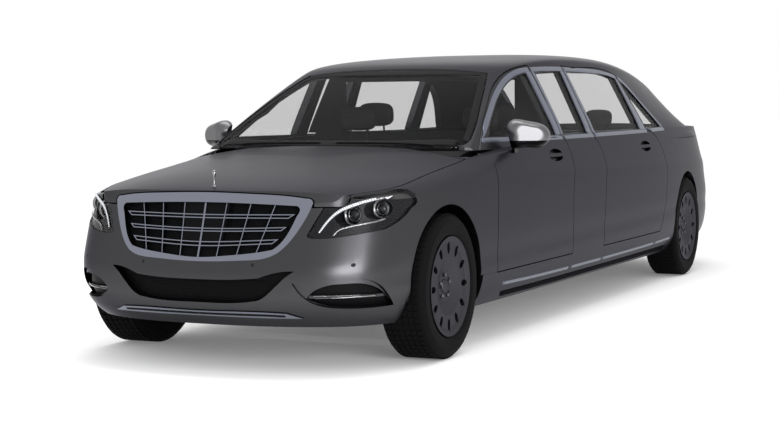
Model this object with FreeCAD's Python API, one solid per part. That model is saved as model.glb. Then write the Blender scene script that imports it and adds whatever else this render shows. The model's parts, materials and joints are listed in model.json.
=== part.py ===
# Stretch limousine: a long four-door saloon with a fixed panel between its doors.
# Frame: +X forward, +Y to the car's left, +Z up. The origin is on the ground below mid-length.
# Units are millimetres.
import FreeCAD, Part

import math
import os

from FreeCAD import Vector

os.makedirs("parts", exist_ok=True)

# Overall sizes
length = 6499.0
width = 1899.0
height = 1566.0
wheelbase = 4418.0
front_overhang = 845.0
belt_height = 1056.0

# Panel sizes
seam = 0.3
shut_gap = 6.0
overrun = 60.0
door_depth = 105.0
frame_depth = 42.0
roof_depth = 36.0
skin_depth = 26.0
lid_depth = 34.0
bumper_depth = 40.0
glass_inset = 5.0
glass_depth = 5.0
lamp_depth = 90.0

# Wheels, in 245/50 R18 size
rim_radius = 243.0
rim_width = 230.0
barrel_radius = 226.0
barrel_wall = 10.0
tyre_width = 245.0
tyre_radius = 354.0
wheel_plane = 811.5
disc_depth = 22.0
disc_inset = 12.0
hub_radius = 72.0
bore_radius = 33.0
lug_count = 5
lug_radius = 8.0
lug_circle = 56.0
pocket_count = 12
pocket_circle = 188.0
pocket_long = 58.0
pocket_wide = 32.0

# Wheel arches
arch_radius = 376.0
arch_rise = 22.0
house_radius = 392.0
house_inner = 505.0
house_wall = 12.0

# Floor and structure
floor_low = 205.0
floor_depth = 30.0
sill_top = 372.0
firewall_x = 1905.0
bulkhead_x = -2210.0
wall_depth = 14.0
boot_floor = 470.0
rail_width = 70.0
rail_height = 110.0
rail_y = 400.0

# Doors, bodyside, bumpers and lamps
door_inner = 642.0
door_step = 16.0
door_flange = 20.0
frame_lap = 2.0
handle_long = 241.0
handle_high = 70.0
handle_bar = 20.0
pillar_depth = 150.0
pillar_top = 925.0
foot_low = 960.0
fender_inner = 684.0
bumper_top = 640.0
lid_low = 690.0
hood_low = 770.0
hood_under = 798.0
lip_low = 216.0
lip_proud = 7.0
blade_high = 14.0
lamp_inset = 14.0
lamp_reach = 330.0
grille_inset = 12.0
bar_line = 4.5
backing_depth = 6.0
backing_lap = 12.0
finial_radius = 13.0
finial_height = 90.0
front_handle_shares = (0.2494, 0.6041)
rear_handle_shares = (-0.3151, 0.6098)
pillar_share = 0.54
foot_share = 0.554
quarter_share = -0.72
deck_edge_share = -0.78
bumper_share = 0.785
lamp_tail_share = 0.826
finial_share = 0.942
nose_share = 0.5665
finial_shares = ((0.0, 0.0), (0.3, 0.0), (0.18, 0.5), (0.62, 0.68), (0.7, 0.76), (0.5, 0.88), (0.0, 1.0))
blade_share = 0.228
post_shares = ((0.12, 0.103), (0.2507, 0.2085), (0.379, 0.303))
post_top_share = 0.5045
post_foot_share = 0.34
bowl_shares = ((0.7109, 0.4655, 0.9001, 0.0332), (0.8173, 0.4808, 0.874, 0.0287))

# Floor, cabin and running gear
kick_x = -1912.0
raised_floor = 514.0
hatch_half = 75.0
hatch_top = 560.0
tunnel_width = 260.0
tunnel_top = 330.0
cowl_top = 945.0
dash_half = 712.0
shelf_top = 1040.0
shelf_rear = -2640.0
shelf_half = 640.0
rail_low = 400.0
seat_long = 520.0
seat_wide = 540.0
seat_height = 400.0
seat_round = 45.0
cushion_depth = 150.0
back_depth = 130.0
back_height = 600.0
front_lean = 14.0
facing_lean = 6.0
rear_lean = 20.0
rest_height = 210.0
rest_post = 24.0
front_seat_x = 1120.0
facing_seat_x = 100.0
rear_seat_x = -1530.0
rear_seat_y = 243.0
rear_seat_wide = 480.0
driver_y = 400.0
wheel_radius = 180.0
wheel_rim = 14.0
wheel_hub = 55.0
column_length = 330.0
column_lean = 66.0
wheel_x = 1295.0
wheel_z = 860.0
partition_x = 528.0
partition_half = 560.0
partition_sill = 1080.0
partition_head = 1380.0
knuckle_width = 60.0
hub_depth = 60.0
arm_offset = 150.0
arm_width = 44.0
arm_depth = 26.0
beam_width = 180.0
beam_half = 482.0
beam_low = 240.0
shaft_radius = 32.0
case_size = 85.0
pipe_radius = 32.0
pipe_y = 300.0
pipe_end = -3140.0
muffler_rear = -2950.0
muffler_front = -2550.0
muffler_half = 130.0
muffler_high = 100.0
mirror_root_x = 1475.0
mirror_root_y = 862.0
mirror_tip_x = 1351.0
mirror_tip_y = 1063.0
mirror_foot_y = 790.0
mirror_low = 999.0
mirror_top = 1148.0
mirror_depth = 90.0
engine_back = 2010.0
engine_long = 760.0
engine_half = 380.0
engine_top = 825.0

# Places worked out from the sizes above
reach = length / 2
half = width / 2
nose_x = length / 2
tail_x = -length / 2
front_axle_x = nose_x - front_overhang
rear_axle_x = front_axle_x - wheelbase
rear_overhang = length - wheelbase - front_overhang
axle_height = tyre_radius

# Side of the lower body, from the ground up. Each row gives its height as a share of the belt's,
# its half-width as a share of the car's, its set-back at the nose and tail as shares of the
# overhangs, and how far it drops from nose to tail, as a share of the belt's height.
side_shares = [
    (0.142, 0.86, 0.2249, 0.1861, 0.0),
    (0.1941, 0.925, 0.142, 0.1133, 0.0),
    (0.2481, 0.965, 0.0533, 0.0485, 0.0),
    (0.3125, 0.984, 0.0142, 0.0162, 0.0),
    (0.3646, 0.992, 0.0036, 0.0, -0.0568),
    (0.4072, 0.996, 0.0, 0.0, -0.0758),
    (0.4451, 0.992, 0.0, 0.0, -0.071),
    (0.4848, 0.995, 0.0, 0.0024, -0.0568),
    (0.5303, 1.0, 0.026, 0.0081, -0.0379),
    (0.6061, 1.0, 0.0651, 0.0283, -0.0095),
    (0.6818, 1.0, 0.1006, 0.0607, 0.0189),
    (0.7576, 0.998, 0.1325, 0.0688, 0.0568),
    (0.803, 0.99, 0.1598, 0.0696, 0.0739),
    (0.822, 0.979, 0.1716, 0.0704, 0.0739),
    (0.8996, 0.952, 0.2308, 0.0769, 0.0379),
    (1.0, 0.922, 0.3077, 0.089, 0.0),
    (1.0701, 0.9, 0.3669, 0.1133, 0.0),
]

# Plan of the corners: set-back from the nose or tail as a share of the overhang, and half-width
# as a share of the row's.
front_corner_shares = [
    (0.0, 0.0), (0.0, 0.14), (0.0118, 0.3), (0.045, 0.46),
    (0.1006, 0.62), (0.1953, 0.77), (0.3432, 0.88), (0.568, 0.945),
    (0.8994, 0.975), (1.3609, 0.99), (1.9527, 1.0),
]
rear_corner_shares = [
    (0.0, 0.0), (0.0, 0.14), (0.0065, 0.3), (0.0243, 0.46),
    (0.0607, 0.62), (0.1214, 0.76), (0.2184, 0.86), (0.3722, 0.92),
    (0.6149, 0.955), (0.9709, 0.98), (1.3754, 0.995), (1.7799, 1.0),
]

# Bonnet, belt shelf and boot, from nose to tail: place as a share of half the length, then the
# heights at the middle, at 0.38, 0.66, 0.83, 0.93 and 1.0 of the half-width, as shares of height.
deck_width_shares = (0.0, 0.2, 0.38, 0.55, 0.7, 0.83, 0.91, 0.96, 1.06)
deck_shares = [
    (1.046, 0.485, 0.484, 0.479, 0.469, 0.457, 0.441, 0.421, 0.402, 0.358),
    (1.0, 0.511, 0.51, 0.504, 0.493, 0.476, 0.45, 0.428, 0.409, 0.358),
    (0.974, 0.534, 0.533, 0.529, 0.52, 0.498, 0.466, 0.441, 0.415, 0.364),
    (0.942, 0.548, 0.547, 0.544, 0.536, 0.52, 0.495, 0.469, 0.441, 0.383),
    (0.862, 0.575, 0.574, 0.57, 0.562, 0.55, 0.535, 0.514, 0.489, 0.415),
    (0.739, 0.605, 0.604, 0.6, 0.591, 0.579, 0.57, 0.557, 0.536, 0.46),
    (0.615, 0.646, 0.645, 0.64, 0.631, 0.616, 0.602, 0.584, 0.565, 0.498),
    (0.554, 0.663, 0.662, 0.658, 0.65, 0.639, 0.623, 0.61, 0.594, 0.543),
    (0.492, 0.658, 0.656, 0.654, 0.649, 0.642, 0.639, 0.636, 0.626, 0.575),
    (0.4, 0.658, 0.657, 0.656, 0.655, 0.653, 0.651, 0.649, 0.642, 0.613),
    (0.308, 0.664, 0.664, 0.664, 0.663, 0.663, 0.662, 0.662, 0.658, 0.632),
    (0.215, 0.674, 0.674, 0.674, 0.674, 0.674, 0.674, 0.674, 0.669, 0.645),
    (0.062, 0.677, 0.677, 0.677, 0.677, 0.677, 0.677, 0.677, 0.672, 0.648),
    (-0.308, 0.681, 0.681, 0.681, 0.681, 0.681, 0.681, 0.681, 0.676, 0.651),
    (-0.492, 0.685, 0.685, 0.685, 0.685, 0.685, 0.685, 0.684, 0.678, 0.651),
    (-0.615, 0.69, 0.69, 0.69, 0.689, 0.688, 0.687, 0.685, 0.677, 0.648),
    (-0.739, 0.697, 0.697, 0.696, 0.695, 0.692, 0.688, 0.683, 0.67, 0.639),
    (-0.831, 0.7, 0.699, 0.697, 0.695, 0.691, 0.686, 0.677, 0.661, 0.613),
    (-0.923, 0.696, 0.695, 0.693, 0.688, 0.682, 0.672, 0.658, 0.639, 0.587),
    (-0.976, 0.688, 0.688, 0.685, 0.678, 0.668, 0.653, 0.635, 0.613, 0.562),
    (-1.046, 0.658, 0.656, 0.651, 0.642, 0.629, 0.61, 0.587, 0.562, 0.511),
]

# Greenhouse, from the bonnet to the boot: place as a share of half the length, then the half-width
# at the belt and its height, the half-width and height at the roof's edge, and the height at
# the middle.
cabin_shares = [
    (0.739, 1.053, 0.53, 0.975, 0.444, 0.488),
    (0.646, 0.979, 0.682, 0.895, 0.541, 0.584),
    (0.585, 0.927, 0.805, 0.843, 0.605, 0.644),
    (0.537, 0.897, 0.885, 0.811, 0.655, 0.693),
    (0.431, 0.904, 0.952, 0.737, 0.78, 0.806),
    (0.308, 0.914, 0.981, 0.674, 0.897, 0.921),
    (0.262, 0.916, 0.992, 0.69, 0.923, 0.944),
    (0.215, 0.918, 1.0, 0.697, 0.94, 0.955),
    (0.123, 0.918, 1.0, 0.704, 0.958, 0.973),
    (0.0, 0.918, 1.0, 0.706, 0.966, 0.99),
    (-0.123, 0.918, 1.0, 0.704, 0.966, 0.997),
    (-0.215, 0.918, 1.0, 0.7, 0.961, 1.0),
    (-0.277, 0.918, 1.0, 0.695, 0.957, 1.0),
    (-0.339, 0.918, 1.0, 0.69, 0.949, 1.0),
    (-0.462, 0.914, 1.0, 0.669, 0.926, 0.991),
    (-0.585, 0.904, 1.0, 0.642, 0.889, 0.971),
    (-0.677, 0.89, 1.0, 0.632, 0.849, 0.929),
    (-0.754, 0.872, 1.0, 0.632, 0.776, 0.83),
    (-0.831, 0.848, 0.956, 0.642, 0.683, 0.701),
    (-0.908, 0.816, 0.852, 0.664, 0.591, 0.6),
    (-1.016, 0.779, 0.663, 0.695, 0.485, 0.479),
]


# Half section of the greenhouse: from below the belt up the side, as shares of the lean and rise
# of the side, then over the roof to the middle, as shares of the edge's place and the crown.
window_section_shares = ((-0.16, -0.35), (0.0, 0.0), (0.2, 0.22), (0.47, 0.5), (0.76, 0.8), (0.93, 0.96))
roof_section_shares = ((1.0, 0.1), (0.86, 0.58), (0.58, 0.9), (0.26, 1.0), (0.0, 1.0))


def moved_net(net, depth, closed):
    """Control net moved inwards by a depth, along normals found from its neighbouring poles."""
    rows = len(net)
    columns = len(net[0])
    moved = []
    for i in range(rows):
        before = net[(i - 1) % rows] if closed else net[max(i - 1, 0)]
        after = net[(i + 1) % rows] if closed else net[min(i + 1, rows - 1)]
        line = []
        for j in range(columns):
            along = after[j] - before[j]
            across = net[i][min(j + 1, columns - 1)] - net[i][max(j - 1, 0)]
            normal = along.cross(across)
            if closed:
                normal.z = 0
            line.append(net[i][j] + normal.normalize() * depth)
        moved.append(line)
    return moved


def net_face(net, closed):
    """Cubic surface on a control net, closed round its first direction or open."""
    surface = Part.BSplineSurface()
    rows = len(net)
    spans = len(net[0]) - 3
    knots = [k / spans for k in range(spans + 1)]
    counts = [4] + [1] * (spans - 1) + [4]
    if closed:
        ring_knots = [k / rows for k in range(rows + 1)]
        ring_counts = [1] * (rows + 1)
    else:
        ring_spans = rows - 3
        ring_knots = [k / ring_spans for k in range(ring_spans + 1)]
        ring_counts = [4] + [1] * (ring_spans - 1) + [4]
    surface.buildFromPolesMultsKnots(net, ring_counts, counts, ring_knots, knots, closed, False, 3, 3)
    return surface.toShape()


def wrap_net():
    """Control net round the lower body, from the tail along the left side to the nose and back."""
    lines = []
    for level, spread, nose_back, tail_back, fall in side_shares:
        side = half * spread
        front = nose_x - front_overhang * nose_back
        rear = tail_x + rear_overhang * tail_back
        points = [(rear + rear_overhang * back, side * share) for back, share in rear_corner_shares]
        points.append((0, side))
        for back, share in reversed(front_corner_shares):
            points.append((front - front_overhang * back, side * share))
        lines.append([Vector(x, y, belt_height * (level + fall * x / length)) for x, y in points])
    left = [list(column) for column in zip(*lines)]
    right = [[Vector(p.x, -p.y, p.z) for p in column] for column in reversed(left[1:-1])]
    return left + right


def wrap(depth):
    """Solid inside the wrap-round surface of the lower body, moved inwards by a depth."""
    side = net_face(moved_net(wrap_net(), depth, True), True)
    rims = [edge for edge in side.Edges if edge.Closed]
    caps = [Part.Face(Part.Wire([edge])) for edge in rims]
    shell = Part.Shell([side] + caps)
    shell.sewShape()
    solid = Part.Solid(shell)
    if solid.Volume < 0:
        solid.reverse()
    return solid


def deck_net():
    """Control net of the bonnet, the belt shelf and the boot, from side to side."""
    net = []
    for row in deck_shares:
        heights = [height * share for share in row[1:]]
        places = [half * share for share in deck_width_shares]
        left = [Vector(reach * row[0], y, z) for y, z in zip(places, heights)]
        right = [Vector(p.x, -p.y, p.z) for p in reversed(left[1:])]
        net.append(right + left)
    return net


def cabin_net():
    """Control net of the windows, pillars and roof, from side to side."""
    net = []
    for place, belt_share, belt_level, edge_share, edge_level, crown in cabin_shares:
        belt = half * belt_share
        belt_z = belt_height * belt_level
        edge = half * edge_share
        edge_z = height * edge_level
        crown_z = height * crown
        rise = edge_z - belt_z
        lean = belt - edge
        side = [(belt - lean * inward, belt_z + rise * up) for inward, up in window_section_shares]
        roof = [(edge * out, edge_z + (crown_z - edge_z) * up) for out, up in roof_section_shares]
        points = [Vector(reach * place, y, z) for y, z in reversed(side + roof)]
        right = [Vector(p.x, -p.y, p.z) for p in reversed(points[1:])]
        net.append(right + points)
    return net


def under_sheet(net, depth, drop):
    """Solid below a sheet moved inwards by a depth, as deep as a drop."""
    return net_face(moved_net(net, depth, False), False).extrude(Vector(0, 0, -drop))


def deck(depth):
    """Solid below the bonnet, belt shelf and boot, moved down by a depth."""
    return under_sheet(deck_net(), depth, height)


def cabin(depth):
    """Solid below the greenhouse, moved inwards by a depth."""
    return under_sheet(cabin_net(), depth, belt_height)
def smooth_edge(points):
    """Straight edge through two points, or a smooth curve through more."""
    if len(points) == 2:
        return Part.makeLine(points[0], points[1])
    curve = Part.BSplineCurve()
    curve.interpolate(points)
    return curve.toShape()


def outline(spot, shares):
    """Closed loop of smooth runs of points, each of which ends where the next one starts."""
    return [[spot(*point) for point in run] for run in shares]


def other_side(points):
    """Points on the other side of the car, in reverse order."""
    return [Vector(point.x, -point.y, point.z) for point in reversed(points)]


def twin_loop(spot, shares):
    """Closed loop that is alike on both sides, from the runs of its left half. The first run
    starts on the middle line and the last one ends there."""
    left = outline(spot, shares)
    for run, following in zip(left, left[1:]):
        run.append(following[0])
    right = [other_side(run) for run in reversed(left)]
    first = right[-1] + left[0][1:]
    last = left[-1] + right[0][1:]
    return [run[:-1] for run in [first] + left[1:-1] + [last] + right[1:-1]]


def flat_face(loop):
    """Flat face inside a loop."""
    edges = []
    for k, run in enumerate(loop):
        following = loop[(k + 1) % len(loop)]
        edges.append(smooth_edge(run + following[:1]))
    return Part.Face(Part.Wire(edges))


def grown(loop, gap):
    """Loop widened by a gap all round, or narrowed by a negative one."""
    points = [point for run in loop for point in run]
    count = len(points)
    turn = Vector(0, 0, 0)
    for k in range(count):
        turn += points[k].cross(points[(k + 1) % count])
    turn.normalize()
    moved = []
    place = 0
    for run in loop:
        line = []
        for k, point in enumerate(run):
            before = points[place - 1]
            after = points[(place + 1) % count]
            arriving = (point - before if k == 0 else after - before).normalize().cross(turn)
            leaving = (after - point if k == 0 else after - before).normalize().cross(turn)
            line.append(point + (arriving + leaving) * (gap / (1 + arriving.dot(leaving))))
            place += 1
        moved.append(line)
    return moved


def side_spot(along, up):
    """Point in the side view, from shares of half the length and of the height."""
    return Vector(reach * along, 0, height * up)


def plan_spot(along, out):
    """Point in the plan view, from shares of half the length and half the width."""
    return Vector(reach * along, half * out, 0)


def front_spot(out, up):
    """Point in the front view, from shares of half the width and of the height."""
    return Vector(0, half * out, height * up)


def side_prism(loop, low, high):
    """Outline in the side view swept across the car, from one side distance to another."""
    return flat_face(loop).translated(Vector(0, low, 0)).extrude(Vector(0, high - low, 0))


def left_prism(loop):
    """Outline in the side view swept through the left side of the car."""
    return side_prism(loop, door_inner, half + overrun)


def plan_prism(loop, low, high=height + overrun):
    """Outline in the plan view swept upwards between two heights."""
    return flat_face(loop).translated(Vector(0, 0, low)).extrude(Vector(0, 0, high - low))


def front_prism(loop, low, high):
    """Outline in the front view swept along the car between two places."""
    return flat_face(loop).translated(Vector(low, 0, 0)).extrude(Vector(high - low, 0, 0))


def mirrored(shape):
    """The same piece on the other side of the car."""
    return shape.mirror(Vector(0, 0, 0), Vector(0, 1, 0))


def span(x0, x1, y0, y1, z0, z1):
    """Block between two places along each direction."""
    return Part.makeBox(x1 - x0, y1 - y0, z1 - z0, Vector(x0, y0, z0))


def drum(radius, x, z, y0, y1):
    """Cylinder across the car, centred at a place in the side view."""
    return Part.makeCylinder(radius, y1 - y0, Vector(x, y0, z), Vector(0, 1, 0))


def one(shape):
    """The biggest solid of a shape."""
    return max(shape.Solids, key=lambda solid: solid.Volume)


def both(shape):
    """A piece and its mirror image, as one compound."""
    return Part.Compound([shape, mirrored(shape)])


# Outlines in the side view, as shares of half the length and of the height.
front_door_shares = [
    [(0.5558, 0.2375), (0.5576, 0.3065)],
    [(0.5549, 0.4738), (0.5521, 0.5364), (0.5465, 0.5843)],
    [(0.5379, 0.6226), (0.4924, 0.6897), (0.4308, 0.7676), (0.3785, 0.8263)],
    [(0.3231, 0.8774), (0.277, 0.9093), (0.24, 0.9234)],
    [(0.2016, 0.931), (0.1933, 0.7982)],
    [(0.1871, 0.6686), (0.1711, 0.629), (0.1686, 0.5939)],
    [(0.177, 0.5428), (0.1902, 0.4725), (0.1926, 0.4087)],
    [(0.1908, 0.2375)],
]
rear_door_shares = [
    [(0.0043, 0.2375), (0.0037, 0.3831)],
    [(-0.0068, 0.5109), (-0.0191, 0.6066)],
    [(0.0068, 0.6596), (0.0215, 0.7982)],
    [(0.0345, 0.9368), (-0.1231, 0.9361), (-0.24, 0.9298)],
    [(-0.3031, 0.9093), (-0.3339, 0.7791)],
    [(-0.3539, 0.6769), (-0.397, 0.6577), (-0.4308, 0.613)],
    [(-0.4395, 0.5543), (-0.4355, 0.4853), (-0.4154, 0.3321)],
    [(-0.3853, 0.2375)],
]
front_window_shares = [
    [(0.4801, 0.6782), (0.4308, 0.7407), (0.3785, 0.7995), (0.3231, 0.8512), (0.277, 0.8825)],
    [(0.2246, 0.9017)],
    [(0.217, 0.6769)],
]
middle_window_shares = [
    [(0.1729, 0.6782)],
    [(0.184, 0.9093)],
    [(0.0554, 0.9157)],
    [(0.0431, 0.6794)],
]
rear_window_shares = [
    [(-0.0098, 0.6807)],
    [(0.0191, 0.9157), (-0.1231, 0.9144), (-0.2339, 0.9093)],
    [(-0.2862, 0.8966)],
    [(-0.3077, 0.6833)],
]
quarter_window_shares = [
    [(-0.357, 0.6858)],
    [(-0.3216, 0.8851), (-0.3631, 0.8493), (-0.4124, 0.7854)],
    [(-0.4739, 0.6897)],
]
fender_shares = [
    [(0.5407, 0.7024)],
    [(0.537, 0.2382)],
    [(0.8001, 0.2382)],
    [(0.7878, 0.461), (0.8574, 0.4834)],
    [(0.9325, 0.5109)],
    [(0.9417, 0.7024)],
]
dash_shares = [
    [(0.5798, 0.4087)],
    [(0.5798, 0.5907), (0.5047, 0.629)],
    [(0.4493, 0.6207), (0.4308, 0.5939)],
    [(0.4308, 0.5364)],
    [(0.4678, 0.4087)],
]

# Left halves of outlines in the plan view, as shares of half the length and half the width.
windshield_shares = [
    [(0.5786, 0.0), (0.5752, 0.4213), (0.5675, 0.6614)],
    [(0.5509, 0.7751), (0.537, 0.792)],
    [(0.5185, 0.7878), (0.4896, 0.7709), (0.4308, 0.7183), (0.3539, 0.6477)],
    [(0.3077, 0.5982), (0.3, 0.316), (0.297, 0.0)],
]
backlight_shares = [
    [(-0.5939, 0.0), (-0.5986, 0.316)],
    [(-0.6124, 0.574), (-0.7078, 0.6024)],
    [(-0.817, 0.6214), (-0.8315, 0.316), (-0.8346, 0.0)],
]
roof_shares = [
    [(0.297, 0.0), (0.3, 0.316)],
    [(0.3077, 0.5982), (0.3031, 0.6319)],
    [(0.277, 0.6551), (0.1539, 0.6656), (0.0, 0.6677), (-0.2154, 0.6635), (-0.4308, 0.6319)],
    [(-0.6124, 0.574), (-0.5986, 0.316), (-0.5939, 0.0)],
]
hood_shares = [
    [(0.9817, 0.0)],
    [(0.9817, 0.554)],
    [(0.9481, 0.5613), (0.9408, 0.6182), (0.9309, 0.6761), (0.9011, 0.733), (0.8666, 0.7846), (0.8287,
        0.8194), (0.7777, 0.8278), (0.7109, 0.8268), (0.6155, 0.8352)],
    [(0.5493, 0.8373), (0.5693, 0.674), (0.5862, 0.4213), (0.5939, 0.0)],
]
lid_shares = [
    [(-0.8377, 0.0), (-0.8352, 0.316), (-0.8247, 0.5898)],
    [(-0.8155, 0.6846), (-0.8924, 0.674)],
    [(-1.0463, 0.6319), (-1.0463, 0.0)],
]

# Left halves of outlines in the front view, as shares of half the width and of the height.
grille_shares = [
    [(0.0, 0.5313), (0.2738, 0.5275), (0.436, 0.5223)],
    [(0.5266, 0.5153), (0.554, 0.5102)],
    [(0.5603, 0.5019), (0.5413, 0.4668), (0.5097, 0.4266), (0.4666, 0.3857)],
    [(0.4213, 0.3589), (0.3686, 0.3448), (0.2633, 0.3372), (0.1369, 0.3333), (0.0, 0.3314)],
]
grille_hole_shares = [
    [(0.0, 0.5026), (0.2949, 0.4994)],
    [(0.4866, 0.4943), (0.4992, 0.4891)],
    [(0.4929, 0.4655), (0.4687, 0.4259), (0.4339, 0.3889)],
    [(0.396, 0.3685), (0.3128, 0.3595), (0.1833, 0.3506), (0.0, 0.3429)],
]
louvre_shares = [
    [
        [(0.0, 0.4674), (0.2528, 0.4687)],
        [(0.4781, 0.47)],
        [(0.4476, 0.4572), (0.2528, 0.4566), (0.0, 0.4553)],
    ],
    [
        [(0.0, 0.4272), (0.2159, 0.4291)],
        [(0.4455, 0.4336)],
        [(0.4202, 0.4215), (0.2159, 0.4183), (0.0, 0.4163)],
    ],
    [
        [(0.0, 0.3883), (0.2275, 0.3927)],
        [(0.4139, 0.3985)],
        [(0.3855, 0.3844), (0.2275, 0.3793), (0.0, 0.3742)],
    ],
]
panel_shares = [
    [(0.0, 0.5026)],
    [(0.1359, 0.5013)],
    [(0.1159, 0.3902), (0.0, 0.3902)],
]
intake_shares = [
    [(0.0, 0.2791), (0.2422, 0.2822)],
    [(0.3423, 0.2874), (0.3876, 0.2969), (0.4318, 0.304)],
    [(0.514, 0.3078), (0.4824, 0.295)],
    [(0.4402, 0.2714), (0.396, 0.2458), (0.3633, 0.2299)],
    [(0.3107, 0.219), (0.2106, 0.212), (0.0, 0.2107)],
]
lip_shares = [
    [(0.0, 0.1839), (0.316, 0.1858)],
    [(0.4634, 0.1826)],
    [(0.5329, 0.1673), (0.4634, 0.1673), (0.0, 0.1686)],
]

# Outlines in the front or rear view on the left side, as shares of half the width and the height.
headlamp_shares = [
    [(0.5487, 0.4061), (0.5613, 0.4259), (0.5898, 0.463)],
    [(0.6182, 0.5032), (0.7162, 0.5179), (0.8015, 0.5332)],
    [(0.8636, 0.5351), (0.9036, 0.5262), (0.9236, 0.5109)],
    [(0.9173, 0.4802), (0.8952, 0.4464)],
    [(0.8552, 0.4227), (0.7372, 0.408), (0.6319, 0.401)],
    [(0.574, 0.401)],
]
side_intake_shares = [
    [(0.5645, 0.228), (0.5845, 0.2439), (0.6319, 0.2612)],
    [(0.6846, 0.2695), (0.7425, 0.2714), (0.7909, 0.2701), (0.8268, 0.2618)],
    [(0.8531, 0.2458), (0.8657, 0.2248)],
    [(0.8699, 0.2031), (0.8141, 0.2018), (0.7372, 0.2024)],
    [(0.6656, 0.2063), (0.6108, 0.2158)],
]
recess_shares = [
    [(0.5266, 0.2522)],
    [(0.5034, 0.2733), (0.5898, 0.2829), (0.674, 0.2861)],
    [(0.772, 0.2867), (0.8215, 0.281), (0.8552, 0.265), (0.8763, 0.2382)],
    [(0.8805, 0.1992), (0.8141, 0.1967), (0.7372, 0.1973)],
    [(0.6614, 0.2011), (0.5898, 0.2158)],
]
tail_lamp_shares = [
    [(0.6445, 0.5779), (0.8004, 0.5843)],
    [(0.9479, 0.5779), (0.9795, 0.5236)],
    [(0.9742, 0.4725), (0.8004, 0.4521)],
    [(0.6445, 0.4419)],
]

# Left mirror in its own view, as shares of its length and height, from its inner lower corner.
mirror_shares = [
    (0.0, 0.52), (0.03, 0.86), (0.12, 1.0), (0.47, 0.98), (0.91, 0.76),
    (1.0, 0.54), (0.98, 0.26), (0.83, 0.05), (0.4, 0.02), (0.06, 0.0),
]

# Mirror's layers, from its glass to its nose: place as a share of the depth and size as a share.
mirror_layer_shares = ((-0.5, 0.93), (-0.3, 1.0), (0.0, 0.98), (0.3, 0.85), (0.5, 0.5))

front_door_loop = outline(side_spot, front_door_shares)
rear_door_loop = outline(side_spot, rear_door_shares)
front_hole = outline(side_spot, front_window_shares)
middle_hole = outline(side_spot, middle_window_shares)
rear_hole = outline(side_spot, rear_window_shares)
quarter_hole = outline(side_spot, quarter_window_shares)
fender_loop = outline(side_spot, fender_shares)
windshield_hole = twin_loop(plan_spot, windshield_shares)
backlight_hole = twin_loop(plan_spot, backlight_shares)
roof_loop = twin_loop(plan_spot, roof_shares)
hood_loop = twin_loop(plan_spot, hood_shares)
lid_loop = twin_loop(plan_spot, lid_shares)
grille_loop = twin_loop(front_spot, grille_shares)
grille_hole = twin_loop(front_spot, grille_hole_shares)
intake_loop = twin_loop(front_spot, intake_shares)
headlamp_loop = outline(front_spot, headlamp_shares)
side_intake_loop = outline(front_spot, side_intake_shares)
recess_loop = outline(front_spot, recess_shares)
tail_lamp_loop = outline(front_spot, tail_lamp_shares)

# Solids that the panels are cut from.
greenhouse = cabin(0)
lower = wrap(0).common(deck(0))
above_belt = span(-reach, reach, -half, half, belt_height - overrun, height + overrun)
upper = greenhouse.common(above_belt)
skin_core = wrap(skin_depth)
door_core = wrap(door_depth)
lamp_core = wrap(lamp_inset)
bumper_core = wrap(bumper_depth)
room = wrap(door_depth + seam)
side_shell = lower.cut(door_core)
upper_shell = upper.cut(cabin(frame_depth))
skin_shell = lower.cut(skin_core.common(deck(skin_depth)))
lid_shell = lower.cut(wrap(lid_depth).common(deck(lid_depth)))
bumper_shell = lower.cut(bumper_core.common(deck(skin_depth)))
door_shell = side_shell.fuse(upper_shell)
pane_shell = cabin(glass_inset).cut(cabin(glass_inset + glass_depth))
flange_core = wrap(door_flange)
flange_top = cabin(glass_inset + glass_depth + seam)
below_belt = span(-length, length, -width, width, -height, belt_height)


def wheel_wells():
    """Space that the four wheels need, with the arches in the skin."""
    wells = []
    for x in (front_axle_x, rear_axle_x):
        house = drum(house_radius, x, axle_height, house_inner, half - skin_depth - overrun)
        arch = drum(arch_radius, x, axle_height + arch_rise, house_inner, half + overrun)
        wells.append(house.fuse(arch))
    left = wells[0].fuse(wells[1])
    return left.fuse(mirrored(left))


wells = wheel_wells()


def stepped(loop, wide, narrow, side_core, top_core):
    """Outline swept through the left side: widened in the skin and narrowed behind it."""
    skin = left_prism(grown(loop, wide)).cut([side_core.common(below_belt), top_core])
    return left_prism(grown(loop, narrow)).fuse(skin)


def handle_cup(place, level):
    """Space of the oval cup behind a left door handle, round its bar."""
    oval = Part.Ellipse(Vector(reach * place, 0, height * level), handle_long / 2, handle_high / 2)
    oval.Axis = Vector(0, -1, 0)
    face = Part.Face(Part.Wire([oval.toShape()]))
    cup = face.translated(Vector(0, half / 2, 0)).extrude(Vector(0, half, 0)).cut(skin_core)
    x = reach * place
    z = height * level
    bar = span(x - handle_long, x + handle_long, half / 2, width, z - handle_bar / 2, z + handle_bar / 2)
    return cup.cut(bar.cut(lamp_core))


def door(loop, hole, place, level):
    """Left door: a thick panel below the belt with a handle, and a window frame above it."""
    step = stepped(loop, 0, -door_step, flange_core, flange_top)
    return one(door_shell.common(step).cut([left_prism(hole), wells, handle_cup(place, level)]))


def side_pane(hole):
    """Pane of glass that fills an outline in the side of the greenhouse, below its surface."""
    return one(pane_shell.common(left_prism(grown(hole, -seam))))


def window(hole):
    """Windscreen or rear window."""
    return one(pane_shell.common(plan_prism(grown(hole, -seam), belt_height - overrun * 2)))


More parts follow.
